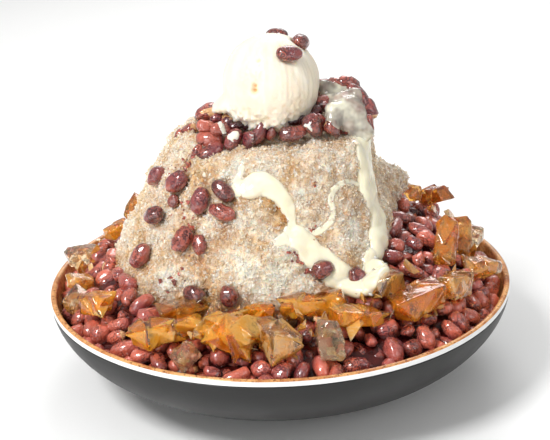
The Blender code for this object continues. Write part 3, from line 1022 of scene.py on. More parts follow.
# Beans round the scoop: X, Y and Z in millimetres, tilt in degrees, size and shape
CROWN_BEANS = (
    (-28.6, -4, 123.8, 20, 0.98, 4),
    (-24.8, -6, 121.8, 70, 0.72, 1),
    (-29.0, -11, 119.2, -15, 0.88, 3),
    (-20.0, -8, 119.6, 82, 0.95, 5),
    (-28.0, -14, 114.2, 0, 1.1, 0),
    (-27.5, -20, 110.8, 25, 1.0, 2),
    (-33.5, -18, 110.0, 65, 0.75, 3),
    (-37.5, 1, 114.6, 25, 0.8, 5),
    (-42.0, 1, 112.0, 70, 0.6, 3),
    (-17.5, -19.5, 115.6, 60, 0.92, 0),
    (-10.8, -20, 115.4, 76, 0.85, 3),
    (-7.0, -17, 117.6, 58, 0.98, 2),
    (-1.3, -17.5, 117.0, 60, 0.62, 3),
    (7.9, -20.5, 118.0, 4, 1.05, 0),
    (-15.5, -11, 119.4, 10, 0.8, 3),
    (-10.5, -11, 119.6, 30, 0.75, 3),
    (-4.0, -12, 120.0, -10, 0.75, 3),
    (3.0, -13, 120.0, 15, 0.75, 3),
    (10.0, -14, 121.4, 10, 0.8, 3),
    (16.8, -20, 120.8, -50, 1.12, 1),
    (22.5, -5, 126.2, 10, 0.9, 1),
    (18.0, -9, 123.4, 40, 0.75, 3),
    (22.0, 7, 131.6, 0, 0.7, 0),
    (24.0, 4, 128.6, -60, 0.9, 2),
    (28.0, 5, 131.8, 20, 0.8, 1),
    (33.5, 6, 130.4, -30, 1.1, 0),
    (37.5, -7, 127.6, -55, 1.0, 0),
    (31.2, -8, 128.2, 5, 0.95, 3),
    (37.0, 3, 128.4, -40, 0.9, 2),
    (41.5, -8, 123.6, -70, 1.0, 5),
    (41.0, -14, 118.0, -80, 0.95, 3),
    (26.4, -16, 125.0, -20, 0.95, 1),
)


# How blunt a bean's ends are, and how many neighbours dent it
BLUNTNESS = 2.7
DENTS = 4


def model_bean(number, kind):
    """One bean along X: a ball drawn out, blunted at its ends, bent, dented by its neighbours and
    wrinkled. Gives its corners, its faces and whether each face shows the flesh."""
    long_share, wide_share, deep_share, bend, wrinkle, burst = kind
    look = settings().beans
    rng = np.random.default_rng(SEED + number)
    bpy.ops.mesh.primitive_uv_sphere_add(segments=10, ring_count=7, radius=look.length / 2)
    bean = bpy.context.object
    flat = look.width / look.length
    scale = (flat * deep_share, flat * wide_share, long_share)
    in_edit_mode(
        bean,
        lambda: bpy.ops.transform.resize(value=scale),
        lambda: bpy.ops.transform.rotate(
            value=math.radians(90), orient_axis="Y", center_override=(0, 0, 0)
        ),
    )
    points = points_of(bean)
    half = points.max(0)
    unit = points / half
    blunt = (np.abs(unit) ** BLUNTNESS).sum(1, keepdims=True) ** (1 / BLUNTNESS)
    unit = unit / np.maximum(blunt, 1e-6)
    for _ in range(DENTS):
        side = rng.normal(size=3) * np.array([0.6, 1, 1])
        side /= np.linalg.norm(side)
        over = np.maximum(unit @ side - rng.uniform(0.68, 0.85), 0)
        unit = unit - over[:, None] * side * 0.8
    points = unit * half
    along = points[:, 0] / half[0]
    points[:, 1] -= (along**2 - 0.4) * half[1] * bend / 60
    for i, place in enumerate(points):
        push = noise.noise_vector(Vector(place) / (3.2 * MM) + Vector((number * 7, 0, 0)))
        points[i] += np.array(push) * wrinkle * MM
    set_points(bean, points)
    faces = [list(f.vertices) for f in bean.data.polygons]
    flesh = np.zeros(len(faces))
    if burst:
        end, side = burst
        for i, face in enumerate(bean.data.polygons):
            facing = end * face.center.x / half[0] + side * face.center.z / half[2]
            flesh[i] = facing > 0.55
    remove(bean)
    return points, faces, flesh


def join_beans(name, centres, axes, sizes, rng, tone_shift, painted_shade, chosen=()):
    """One mesh of many beans, each turned to its axis, and of a random kind unless it is chosen.
    The function given after the tone shift says how much painted shade darkens each point."""
    kinds = [model_bean(number, kind) for number, kind in enumerate(BEAN_KINDS)]
    shapes, flesh, tones = [], [], []
    for i, (centre, axis, size) in enumerate(zip(centres, axes, sizes, strict=True)):
        kind = rng.choice(len(kinds), p=KIND_SHARES)
        angle = rng.uniform(0, 2 * math.pi)
        if i < len(chosen):
            kind = chosen[i]
            # A listed burst bean has its torn side outwards
            angle = math.radians(55) if kinds[kind][2].any() else angle
        points, faces, bean_flesh = kinds[kind]
        roll = Matrix.Rotation(angle, 3, "X")
        turn = Vector(axis).to_track_quat("X", "Z").to_matrix() @ roll
        points = points * size @ np.array(turn).T + centre
        shapes.append((points, faces))
        flesh.append(bean_flesh)
        tone = min(max(rng.normal(0.55 + tone_shift, 0.22), 0.05), 0.88)
        # Painted light and shade: each bean is painted lighter on its top and darker on its
        # underside
        painted_top_light = (points[:, 2] - centre[2]) / (4 * MM)
        tones.append(tone + 0.26 * painted_top_light)
    points, faces = gather(shapes)
    piece = mesh_from(name, points, faces)
    # Painted shade from the function given is taken off the tone
    set_attribute(piece, "tone", np.concatenate(tones) - painted_shade(points))
    set_attribute(piece, "flesh", np.concatenate(flesh), "FACE")
    shade_smooth(piece)
    return piece


# Places along a bean's axis of the balls it is settled with
BALLS = np.array([-1.0, 0.0, 1.0])
# Share of an overlap that one round takes away, and the longest step
SETTLE_SHARE = 0.3
SETTLE_STEP = 1.2 * MM


def settle(centres, axes, half, radius, rounds, hold, fixed=0):
    """Moves beans, each a row of three balls, off one another and then to where hold() lets the
    balls be. The first few may be fixed."""
    owner = np.repeat(np.arange(len(centres)), len(BALLS))
    held = owner < fixed
    for _ in range(rounds):
        balls = centres[:, None] + axes[:, None] * BALLS[None, :, None] * half
        balls = balls.reshape(-1, 3)
        squared = (balls**2).sum(1)
        gap2 = squared[:, None] + squared[None] - 2 * balls @ balls.T
        first, second = np.nonzero(gap2 < (2 * radius) ** 2)
        apart = owner[first] != owner[second]
        first, second = first[apart], second[apart]
        away = balls[first] - balls[second]
        gap = np.maximum(np.linalg.norm(away, axis=1), 0.01 * MM)
        push = away / gap[:, None] * (2 * radius - gap)[:, None] * SETTLE_SHARE
        shift = np.zeros_like(balls)
        np.add.at(shift, first, push)
        length = np.linalg.norm(shift, axis=1, keepdims=True)
        shift *= np.minimum(1, SETTLE_STEP / np.maximum(length, 1e-9))
        moved = hold(balls + shift)
        moved[held] = balls[held]
        balls = moved.reshape(-1, 3, 3)
        centres = balls.mean(1)
        axes = unit_rows(balls[:, 2] - balls[:, 0])
    return centres, axes


class RoundTable:
    """A value measured on a grid of azimuths and distances, read back smoothly."""

    def __init__(self, measure, azimuth_count, levels):
        self.levels = np.array(levels)
        self.count = azimuth_count
        rows = []
        for i in range(azimuth_count):
            azimuth = 360 * i / azimuth_count
            rows.append([measure(azimuth, level) for level in levels])
        self.values = np.array(rows)

    def read(self, azimuths, levels):
        place = np.mod(azimuths, 360) / 360 * self.count
        i = np.floor(place).astype(int) % self.count
        j = (i + 1) % self.count
        u = place - np.floor(place)
        step = np.interp(levels, self.levels, np.arange(len(self.levels)))
        k = np.minimum(np.floor(step).astype(int), len(self.levels) - 2)
        v = step - k
        low = self.values[i, k] * (1 - u) + self.values[j, k] * u
        high = self.values[i, k + 1] * (1 - u) + self.values[j, k + 1] * u
        return low * (1 - v) + high * v


def round_coordinates(points):
    azimuths = np.degrees(np.arctan2(points[:, 1], points[:, 0]))
    return azimuths, np.hypot(points[:, 0], points[:, 1])


def heap_tables():
    """Height of the heap's top by azimuth and distance, and radius of the ice by azimuth and
    height."""
    heap = tree_of(frame["nodes"]["red_bean_heap"])
    ice = tree_of(frame["nodes"]["shaved_ice"])

    def top(azimuth, radius):
        hit = heap.ray_cast(polar(azimuth, radius, BEYOND), Vector((0, 0, -1)))[0]
        return hit.z if hit is not None else np.nan

    def ice_at(azimuth, height):
        return math.hypot(*flank_point(ice, azimuth, height)[:2])

    radii = np.linspace(44, 101, 30) * MM
    heap_top = RoundTable(top, 120, radii)
    for row in heap_top.values:
        known = ~np.isnan(row)
        row[~known] = np.interp(radii[~known], radii[known], row[known])
        # The pile drops away from the wall, which shows above it
        row -= 2.5 * MM * bell(radii - 101 * MM, 9 * MM)
    return heap_top, RoundTable(ice_at, 72, np.linspace(20, 90, 15) * MM)


def blue_noise(draw, spacing, tries, taken=()):
    """Points that draw() makes, kept only where no earlier one is nearer than the spacing."""
    kept = np.array(taken, float).reshape(-1, 3)
    start = len(kept)
    for _ in range(tries):
        point = draw()
        if point is None:
            continue
        if len(kept) and np.linalg.norm(kept - point, axis=1).min() < spacing:
            continue
        kept = np.vstack([kept, point])
    return kept[start:]


def level_axes(rng, count, tilt):
    turns = rng.uniform(0, 2 * math.pi, count)
    lifts = rng.normal(0, tilt, count)
    return unit_rows(np.stack([np.cos(turns), np.sin(turns), np.tan(lifts)], axis=1))


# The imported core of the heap: how it is stepped round and across, its floor, and how far its
# top lies below the heap's
CORE_TURNS = 120
CORE_STEPS = 12
CORE_FLOOR = 14 * MM
CORE_DEPTH = 7.5 * MM


def make_heap():
    """The beans piled in the bowl, in two layers over a packed core."""
    look = settings().beans
    rng = np.random.default_rng(SEED + 1)
    heap_top, ice_radius = heap_tables()
    radius = look.width / 2 * 0.92
    half = look.length / 2 - radius

    def layer(depth, spacing, tries):
        def draw():
            azimuth = rng.uniform(0, 360)
            distance = math.sqrt(rng.uniform(46**2, 99**2)) * MM
            height = heap_top.read(azimuth, distance) - radius - depth
            inner = ice_radius.read(azimuth, height) + 2 * MM
            outer = inner_wall_radius(height) - 3 * MM
            if distance < inner or distance > outer:
                return None
            return np.array(polar(azimuth, distance, height))

        return blue_noise(draw, spacing, tries)

    upper = layer(0, 7.2 * MM, 9000)
    lower = layer(6.2 * MM, 8.0 * MM, 5000)
    centres = np.vstack([upper, lower])
    depths = np.r_[rng.uniform(0, 2.0 * MM, len(upper)), np.full(len(lower), 6.0 * MM)]
    depths = np.repeat(depths, len(BALLS))

    def hold(balls):
        azimuths, distances = round_coordinates(balls)
        top = heap_top.read(azimuths, distances) - radius - depths
        balls[:, 2] += (top - balls[:, 2]) * np.where(balls[:, 2] > top, 0.6, 0.12)
        inner = ice_radius.read(azimuths, balls[:, 2]) + radius * 0.55
        outer = inner_wall_radius(balls[:, 2]) - radius
        kept = np.clip(distances, np.minimum(inner, outer), outer)
        balls[:, :2] *= (kept / distances)[:, None]
        return balls

    # Painted shade: points deeper below the heap's top are painted darker, as the shade between the
    # beans
    def painted_shade(points):
        deep = heap_top.read(*round_coordinates(points)) - points[:, 2]
        return np.clip(deep / MM - 3.5, 0, 10) * 0.11

    axes = level_axes(rng, len(centres), 0.35)
    centres, axes = settle(centres, axes, half, radius, 60, hold)
    sizes = np.clip(rng.normal(0.96, 0.09, len(centres)), 0.74, 1.1)
    beans = join_beans("heap_beans", centres, axes, sizes, rng, 0.06, painted_shade)
    finish_piece(beans, bean_material(look), "red_bean", "red_bean_heap")
    make_heap_core(look, heap_top, ice_radius)


def make_heap_core(look, heap_top, ice_radius):
    """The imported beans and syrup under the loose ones, which fill the bowl."""
    low_wall = inner_wall_radius(CORE_FLOOR) - 0.5 * MM
    outer = inner_wall_radius(34 * MM) - 0.4 * MM
    points = []
    for i in range(CORE_TURNS):
        azimuth = 360 * i / CORE_TURNS
        inner = ice_radius.read(azimuth, 48 * MM) - 2 * MM
        points.append(polar(azimuth, min(inner, low_wall) - 4 * MM, CORE_FLOOR))
        for share in np.linspace(0, 1, CORE_STEPS):
            distance = inner + (outer - inner) * share
            top = heap_top.read(azimuth, distance) - CORE_DEPTH
            points.append(polar(azimuth, distance, max(top, 30 * MM)))
        points.append(polar(azimuth, low_wall, CORE_FLOOR))
    count = CORE_STEPS + 2
    faces = []
    for i in range(CORE_TURNS):
        here, there = i * count, (i + 1) % CORE_TURNS * count
        for k in range(count):
            m = (k + 1) % count
            faces.append([here + k, here + m, there + m, there + k])
    core = mesh_from("heap_core", points, faces)
    in_edit_mode(core, lambda: bpy.ops.mesh.normals_make_consistent(inside=False))
    apply_modifier(core, "SUBSURF", levels=1, render_levels=1)
    relief(core, "VORONOI", 7 * MM, 2.5 * MM, middle=0.6)
    shade_smooth(core)
    finish_piece(core, bean_paste_material(look), "red_bean", "red_bean_heap")


def make_crown():
    """The beans round the scoop: those listed, and loose ones between them."""
    look = settings().beans
    rng = np.random.default_rng(SEED + 2)
    crown = tree_of(frame["nodes"]["red_bean_crown"])
    ice = tree_of(bpy.data.objects["ice_mound"])
    radius = look.width / 2 * 0.9
    half = look.length / 2 - radius
    low, high = (np.array(corner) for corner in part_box("red_bean_crown"))
    table = np.array(CROWN_BEANS)
    placed = table[:, :3] * MM
    tilts = np.radians(table[:, 3])
    depth = rng.uniform(-0.35, 0.35, len(table))
    placed_axes = unit_rows(np.stack([np.cos(tilts), depth, np.sin(tilts)], axis=1))
    scoop = np.array(SCOOP_CENTRE)

    def depth_inside(point):
        """How deep a point lies inside the crown, and the nearest point of its surface."""
        place, normal, _, distance = crown.find_nearest(Vector(point))
        inside = (Vector(point) - place).dot(normal) < 0
        return (distance if inside else -distance), np.array(place), np.array(normal)

    def draw():
        point = rng.uniform(low, high)
        return point if depth_inside(point)[0] > 1.0 * MM else None

    def hold(balls):
        for i, ball in enumerate(balls):
            deep, place, normal = depth_inside(ball)
            if deep < radius * 0.75:
                balls[i] = ball + (place - normal * radius * 0.75 - ball) * 0.6
            off = balls[i] - scoop
            distance = np.linalg.norm(off)
            if distance < SCOOP_RADIUS + radius * 0.8:
                balls[i] = scoop + off / distance * (SCOOP_RADIUS + radius * 0.8)
            place, normal, _, distance = ice.find_nearest(Vector(balls[i]))
            side = (Vector(balls[i]) - place).dot(normal)
            if side < radius * 0.5:
                balls[i] += np.array(normal) * (radius * 0.5 - side) * 0.7
        return balls

    def painted_scoop_shadow(points):
        """Painted shadow of the scoop: darker close under it."""
        off = points - scoop
        gap = np.linalg.norm(off, axis=1) - SCOOP_RADIUS
        return np.clip(1 - gap / (7 * MM), 0, 1) * (off[:, 2] < -8 * MM) * 0.8

    loose = blue_noise(draw, 6.4 * MM, 6000, placed)
    centres = np.vstack([placed, loose])
    axes = np.vstack([placed_axes, level_axes(rng, len(loose), 0.5)])
    centres, axes = settle(centres, axes, half, radius, 30, hold, fixed=len(placed))
    sizes = np.concatenate([table[:, 4], rng.uniform(0.8, 1.0, len(loose))])
    chosen = table[:, 5].astype(int)
    beans = join_beans("crown_beans", centres, axes, sizes, rng, -0.4, painted_scoop_shadow, chosen)
    finish_piece(beans, bean_material(look), "red_bean", "red_bean_crown")


def make_single_beans():
    """The beans that lie alone on the ice and on the scoop, each rounded from its own solid."""
    look = settings().beans
    rng = np.random.default_rng(SEED + 3)
    skin = bean_material(look)
    for node in SLOPE_NODES + SCOOP_NODES:
        bean = copy_node(node, "loose_" + node)
        apply_modifier(bean, "SUBSURF", levels=2, render_levels=2)
        points = points_of(bean)
        middle = points.mean(0)
        # The rounding draws the surface in, and this swells it back
        points = middle + (points - middle) * 1.03
        offset = Vector(rng.uniform(0, 50, 3))
        wrinkle = rng.uniform(0.15, 0.7) * MM
        for i, place in enumerate(points):
            push = noise.noise_vector(Vector(place) / (3.0 * MM) + offset)
            points[i] += np.array(push) * wrinkle
        set_points(bean, points)
        set_attribute(bean, "tone", np.full(len(points), rng.uniform(0.0, 0.38)))
        set_attribute(bean, "flesh", np.zeros(len(bean.data.polygons)), "FACE")
        shade_smooth(bean)
        finish_piece(bean, skin, "red_bean", node)


# Bits of crushed bean: azimuth, height, reach, how many
CRUMB_PLACES = (
    (-152, 106, 4, 22),
    (-156, 102, 3, 10),
    (-77, 73, 3, 16),
    (-69, 77, 2.5, 10),
    (-66, 74, 2, 8),
    (-85, 75, 2, 5),
    (-82, 72, 2, 7),
    (-80, 71, 2, 6),
    (-77.5, 70.5, 2, 7),
    (-76, 67, 2, 6),
    (-71, 81, 2, 8),
    (-60, 92, 2, 4),
    (-66, 100, 2, 4),
    (-130, 80, 7, 16),
    (-140, 88, 6, 14),
    (-133, 62, 8, 14),
    (-75, 62, 6, 8),
)


def make_crumbs():
    """Bits of crushed bean stuck to the ice."""
    look = settings().beans
    rng = np.random.default_rng(SEED + 4)
    tree = tree_of(bpy.data.objects["ice_mound"])
    centres = []
    for azimuth, height, reach, count in CRUMB_PLACES:
        middle = flank_point(tree, azimuth, height * MM)
        for _ in range(count):
            place = middle + Vector(rng.normal(0, reach / 2, 3)) * MM
            centres.append(np.array(tree.find_nearest(place)[0]))
    count = len(centres)
    sizes = (0.5 + np.minimum(rng.exponential(0.6, count), 1.8)) * MM
    stretch = rng.uniform(0.6, 1.3, (count, len(GRAIN_CORNERS), 1))
    turns = random_turns(rng, count)
    crumbs = join_shapes("bean_crumbs", np.array(centres), turns, sizes, stretch)
    tones = rng.uniform(0.1, 0.9, count)
    set_attribute(crumbs, "tone", np.repeat(tones, len(GRAIN_CORNERS)))
    flesh = np.where(rng.uniform(size=count) < 0.25, 0.7, 0)
    set_attribute(crumbs, "flesh", np.repeat(flesh, len(GRAIN_FACES)), "FACE")
    finish_piece(crumbs, bean_material(look), "red_bean")


# ---------------------------------------------------------------- jelly

# Chunks that are nearly clear, and half clear, rather than amber
CLEAR_CHUNKS = (1, 4, 8, 12, 15, 21, 32)
HALF_CLEAR_CHUNKS = (2, 5, 9, 11, 16, 18, 22, 24, 28)

# Where small shards lie: azimuth from and to, distance from the middle from and to, share of them
SHARD_ZONES = (
    (-132, -50, 64, 84, 0.52),
    (-48, 12, 70, 92, 0.2),
    (165, 212, 84, 97, 0.13),
    (20, 160, 70, 90, 0.15),
)


def jelly_kinds(look):
    """For each kind of chunk, the jelly of its skin and of its middle and the middle's share of
    the chunk's width. The pairs say how much light passes where it is cloudiest and clearest."""
    rows = (
        ("clear", look.clear, "#F6C272", (0.85, 1.0), (0.6, 0.95), 0.35),
        ("half clear", look.honey, "#FFE4B6", (0.65, 1.0), (0.25, 0.75), 0.56),
        ("amber", look.amber, "#FFD070", (0.55, 1.0), (0.0, 0.3), 0.78),
        ("deep amber", linear("#F09A20"), "#FFD88C", (0.66, 1.0), (0.12, 0.7), 0.58),
    )
    kinds = {}
    for name, first, second, skin, inside, share in rows:
        outer = jelly_material("Agar jelly, " + name, first, linear(second), *skin)
        inner = jelly_material("Agar jelly, cloudy " + name, first, linear(second), *inside)
        kinds[name] = (outer, inner, share)
    return kinds


# Facets that meet flatter than this are one, and faces smaller than this are bevelled edges, which
# get a painted edge highlight
FACET_ANGLE = math.radians(16)
EDGE_HIGHLIGHT_AREA = 1.3 * MM * MM


def hull_of(points):
    """Corners and flat facets of the smallest convex body round some points."""
    work = bmesh.new()
    for point in points:
        work.verts.new(point)
    hull = bmesh.ops.convex_hull(work, input=work.verts)
    spare = set(hull["geom_interior"] + hull["geom_unused"])
    spare = [g for g in spare if isinstance(g, bmesh.types.BMVert)]
    bmesh.ops.delete(work, geom=spare, context="VERTS")
    bmesh.ops.recalc_face_normals(work, faces=work.faces)
    bmesh.ops.dissolve_limit(work, angle_limit=FACET_ANGLE, verts=work.verts, edges=work.edges)
    work.verts.index_update()
    corners = np.array([v.co for v in work.verts])
    faces = [[v.index for v in f.verts] for f in work.faces]
    work.free()
    return corners, faces


def spread_out(points, count, rng):
    """A few of the points, each as far as can be from the ones before it."""
    chosen = [int(rng.integers(len(points)))]
    gap = np.full(len(points), np.inf)
    for _ in range(count - 1):
        gap = np.minimum(gap, np.linalg.norm(points - points[chosen[-1]], axis=1))
        chosen.append(int(np.argmax(gap)))
    return points[chosen]


def shade_facets(piece, source):
    """Gives each face the shade and clearness of the flat facet it came from, the small bevelled
    edges painted pale in the second colour as a painted edge highlight; facets that face alike
    match."""
    facets = tree_of(source)
    faces = source.data.polygons
    normals = np.round(np.array([f.normal for f in faces]) * 3)
    # Painted highlight: the small faces of the bevelled edges take the second colour and a cloudier
    # look, standing in for light caught along the edges
    painted_edge_highlight = np.array([f.area for f in faces]) < EDGE_HIGHLIGHT_AREA
    near = [facets.find_nearest(face.center)[2] for face in piece.data.polygons]
    # The weights scatter the directions, so that neighbouring facets differ
    for name, weights, edge in (
        ("tone", (12.99, 78.23, 37.72), 1.0),
        ("window", (39.35, 11.14, 83.16), 0.3),
    ):
        values = np.mod(np.abs(np.sin(normals @ np.array(weights))) * 437.58, 1)
        values = np.where(painted_edge_highlight, edge, values)
        set_attribute(piece, name, values[near], "FACE")


# Chunks torn into star-like spikes
SPIKY_CHUNKS = (10, 11)

# The chunk whose left end the poured milk has pressed down: how deep, and the X it starts
# from and the width it takes
PRESSED_NODE = "jelly_16"
PRESSED_DEPTH = 4 * MM
PRESSED_EDGE = 44 * MM
PRESSED_SLOPE = 10 * MM


def chunk_points(node):
    """Points all over the skin of a chunk's node."""
    source = copy_node(node, "jelly_source")
    remesh(source, 1.0 * MM)
    smooth(source, 3)
    points = points_of(source)
    remove(source)
    if node == PRESSED_NODE:
        share = np.clip((PRESSED_EDGE - points[:, 0]) / PRESSED_SLOPE, 0, 1)
        points[:, 2] -= PRESSED_DEPTH * share
    return points


def chunk_kind(number, middle):
    """What kind of jelly a chunk is; the amber ones far to the right are deep amber."""
    if number in CLEAR_CHUNKS:
        return "clear"
    if number in HALF_CLEAR_CHUNKS:
        return "half clear"
    return "deep amber" if middle[0] > 38 * MM else "amber"


def torn_lumps(points, rng, spiky):
    """Middles and corners of the lumps that a chunk is torn into along its length."""
    off = points - points.mean(0)
    along = off @ np.linalg.svd(off, full_matrices=False)[2][0]
    reach = along.max() - along.min()
    count = max(2, round(reach / (5.5 * MM))) + 3 * spiky
    least, most = (0.48, 1.7) if spiky else (0.88, 1.3)
    lumps = []
    for k in range(count):
        at = along.min() + reach * (k + 0.5) / count
        near = np.abs(along - at) < reach / count * rng.uniform(0.8, 1.5) * (1 + spiky)
        lump = spread_out(points[near], int(rng.integers(7, 12)), rng)
        centre = lump.mean(0)
        lump = centre + (lump - centre) * rng.uniform(least, most, (len(lump), 1))
        lumps.append((centre, lump))
    return lumps


def make_jelly():
    """The chunks of jelly: blocks torn into flat-faced lumps that still hang together, with edges
    that have softened, each round a cloudier middle."""
    kinds = jelly_kinds(settings().jelly)
    rng = np.random.default_rng(SEED + 6)
    for node in JELLY_NODES:
        number = int(node[-2:])
        points = chunk_points(node)
        skin, inside, share = kinds[chunk_kind(number, points.mean(0))]
        lumps = torn_lumps(points, rng, number in SPIKY_CHUNKS)
        chunk = None
        for k, (_, lump) in enumerate(lumps):
            piece = mesh_from(f"jelly_lump_{k}", *hull_of(lump))
            if chunk is None:
                chunk = piece
                continue
            apply_modifier(chunk, "BOOLEAN", operation="UNION", object=piece, solver="EXACT")
            remove(piece)
        apply_modifier(
            chunk,
            "BEVEL",
            width=0.45 * MM,
            segments=2,
            limit_method="ANGLE",
            angle_limit=math.radians(20),
        )
        facets = duplicate(chunk, "facets")
        chunk.name = "jelly_chunk_" + node[-2:]
        remesh(chunk, 0.6 * MM)
        smooth(chunk, 6)
        shade_facets(chunk, facets)
        remove(facets)
        shade_smooth(chunk)
        finish_piece(chunk, skin, "jelly", node)
        shapes = []
        for centre, lump in lumps[::2]:
            inner = centre + (lump - centre) * share
            inner[:, 2] -= 0.6 * MM
            shapes.append(hull_of(inner))
        core = mesh_from("jelly_middle_" + node[-2:], *gather(shapes))
        shade_facets(core, core)
        finish_piece(core, inside, "jelly", node)


def model_shard(rng):
    """A torn shard: the hull of a few random points."""
    size = np.array([1.0, rng.uniform(0.45, 0.8), rng.uniform(0.25, 0.5)])
    directions = unit_rows(rng.normal(size=(9, 3)))
    return hull_of(directions * size * rng.uniform(0.6, 1.15, (9, 1)))


def make_shards():
    """Small torn bits of jelly between the chunks."""
    look = settings().jelly
    rng = np.random.default_rng(SEED + 5)
    heap_top = heap_tables()[0]
    models = [model_shard(rng) for _ in range(12)]
    shapes = []
    for low, high, near, far, share in SHARD_ZONES:
        for _ in range(int(look.shards * share)):
            azimuth = rng.uniform(low, high)
            distance = rng.uniform(near, far) * MM
            height = heap_top.read(azimuth, distance) + rng.uniform(-0.5, 2.5) * MM
            corners, faces = models[rng.integers(len(models))]
            size = rng.uniform(2.2, 6.2) * MM
            turn = random_turns(rng, 1)[0]
            place = np.array(polar(azimuth, distance, height))
            shapes.append((corners * size @ turn.T + place, faces))
    shards = mesh_from("jelly_shards", *gather(shapes))
    shade_facets(shards, shards)
    activate(shards)
    bpy.ops.object.shade_smooth_by_angle(angle=math.radians(20))
    honey = jelly_material("Agar jelly, shards", look.honey, linear("#FFEAC4"), 0.4, 0.98)
    finish_piece(shards, honey, "jelly")


# ---------------------------------------------------------------- ice cream

# Pits in the scoop: azimuth, level as a share of the radius, size, depth, and how warm their
# colour is
TORN_HOLES = (
    (-110, 0.19, 1.3, 2.2, 1.2),
    (-110.5, 0.10, 1.5, 2.6, 1.3),
    (-109, 0.3, 0.9, 0.8, 0.5),
    (-110, 0.45, 0.8, 0.6, 0.5),
    (-108, 0.66, 1.0, 0.8, 0.8),
    (-106, 0.58, 0.8, 0.5, 0.5),
    (-75, -0.25, 0.7, 0.7, 0.5),
)


def turned_from(azimuths, azimuth):
    """How far each azimuth is turned from another, in degrees from -180 to 180."""
    return (azimuths - azimuth + 180) % 360 - 180


def make_ice_cream():
    """The scoop, with its torn skirt, its tongue and its pits."""
    look = settings().cream
    scoop = copy_node("ice_cream", "vanilla_scoop")
    apply_modifier(scoop, "SUBSURF", levels=1, render_levels=1)
    remesh(scoop, look.voxel)
    smooth(scoop, 10)
    points = points_of(scoop)
    normals = normals_of(scoop)
    centre = np.array(SCOOP_CENTRE)
    unit = unit_rows(points - centre)
    azimuths = np.degrees(np.arctan2(unit[:, 1], unit[:, 0]))
    # Torn skirt round the foot, strongest on the left, where a thin tongue spreads over the beans
    skirt = bell(unit[:, 2] + 0.66, 0.3) * (0.4 + 0.6 * bell(turned_from(azimuths, -150), 70))
    tongue = bell(turned_from(azimuths, -175), 24) * bell(unit[:, 2] + 0.36, 0.1)
    sides = bell(turned_from(azimuths, -25), 40)
    torn = np.zeros(len(points))
    push = np.zeros(len(points))
    for i, place in enumerate(points):
        p = Vector(place)
        fold = noise.fractal(p / (4.5 * MM), 1.0, 2.0, 3)
        rough = noise.fractal(p / (1.8 * MM), 1.0, 2.0, 2)
        drag = noise.noise(Vector((azimuths[i] / 14, unit[i, 2] * 1.6, 3)))
        streak = noise.noise(Vector((azimuths[i] / 5, unit[i, 2] * 2.5, 9)))
        patch = max(noise.noise(p / (13 * MM) + Vector((5, 0, 0))) - 0.2, 0) * 2.0
        push[i] = (
            skirt[i] * (2.0 * fold + 1.4 * rough + 1.4)
            + tongue[i] * (7.0 + 2.0 * fold)
            + 0.5 * drag
            + (0.22 + 0.12 * sides[i]) * streak
            + patch * (0.5 * rough - 0.4)
        )
        torn[i] = min(max(0.3 * patch - 0.35 * fold * skirt[i] - 0.2 * drag, 0), 0.6)
    points += normals * push[:, None] * MM
    for azimuth, level, size, depth, warm in TORN_HOLES:
        hole = centre + np.array(polar(azimuth, 1, 0)) * SCOOP_RADIUS * math.sqrt(1 - level**2)
        hole[2] += SCOOP_RADIUS * level
        near = bell(np.linalg.norm(points - hole, axis=1), size * MM)
        points -= normals * near[:, None] * depth * MM
        torn = np.maximum(torn, near * warm)
    set_points(scoop, points)
    set_attribute(scoop, "torn", torn)
    shade_smooth(scoop)
    finish_piece(scoop, cream_material(look), "ice_cream", "ice_cream")


# ---------------------------------------------------------------- condensed milk

# How wavy the edge of the poured milk is, and the chunks that it pools between
RAGGED = 0.14
POOL_CHUNKS = (13, 14, 16, 17)

# Poured streams: points of azimuth, height and half-width, or of X, Y, Z and half-width, in
# degrees and millimetres
MILK_STREAMS = (
    (
        (-113.5, 107.5, 1.6), (-114.1, 105.2, 1.7), (-115.1, 102.2, 2.0), (-112.3, 99.6, 4.1),
        (-107.6, 100.0, 4.7), (-103.0, 101.6, 5.3), (-98.1, 101.8, 5.3), (-93.3, 99.9, 4.9),
        (-88.7, 97.1, 4.3), (-85.4, 94.0, 3.7), (-82.8, 90.4, 3.0), (-81.8, 87.8, 2.4),
        (-81.8, 85.7, 2.0), (-82.1, 84.0, 2.4), (-82.7, 82.0, 3.6), (-79.5, 79.3, 5.2),
        (-75.7, 76.8, 5.1), (-73.2, 71.8, 5.3), (-69.1, 68.9, 6.0), (-64.8, 66.1, 5.3),
        (-62.5, 63.7, 5.3), (-59.5, 61.5, 5.1), (-54.5, 58.3, 5.7), (-48.2, 57.5, 7.4),
    ),
    (
        (-16.0, 114.0, 6.5), (-24.0, 107.4, 7.8), (-26.5, 99.4, 7.4), (-28.0, 92.0, 7.2),
        (-27.5, 85.9, 6.6), (-27.0, 81.5, 6.0), (-28.1, 78.6, 6.0), (-31.3, 76.1, 6.2),
        (-34.4, 73.6, 6.6), (-36.6, 71.8, 6.2), (-39.8, 69.1, 5.2), (-40.7, 66.3, 6.2),
        (-41.5, 63.5, 8.1), (-43.5, 60.5, 8.6), (-48.2, 57.5, 7.8),
    ),
    ((-41.0, 66.0, 3.9), (-35.0, 62.0, 3.6), (-33.0, 59.0, 2.3)),
)

# Thin milk soaking into the ice
THIN_STREAMS = (
    (
        (-73.3, 79.9, 1.5), (-68.0, 80.5, 1.7), (-63.9, 82.2, 1.7), (-60.2, 84.4, 1.6),
        (-58.3, 88.2, 1.4), (-58.3, 92.8, 1.5), (-55.5, 96.5, 1.9), (-51.7, 98.2, 1.7),
        (-47.5, 98.7, 1.4), (-41.0, 97.6, 1.3), (-33.7, 94.1, 1.2), (-31.1, 89.6, 1.0),
    ),
    ((-90.0, 79.0, 2.2), (-85.5, 79.5, 3.4), (-79.5, 79.3, 4.6), (-75.0, 81.0, 2.4)),
)

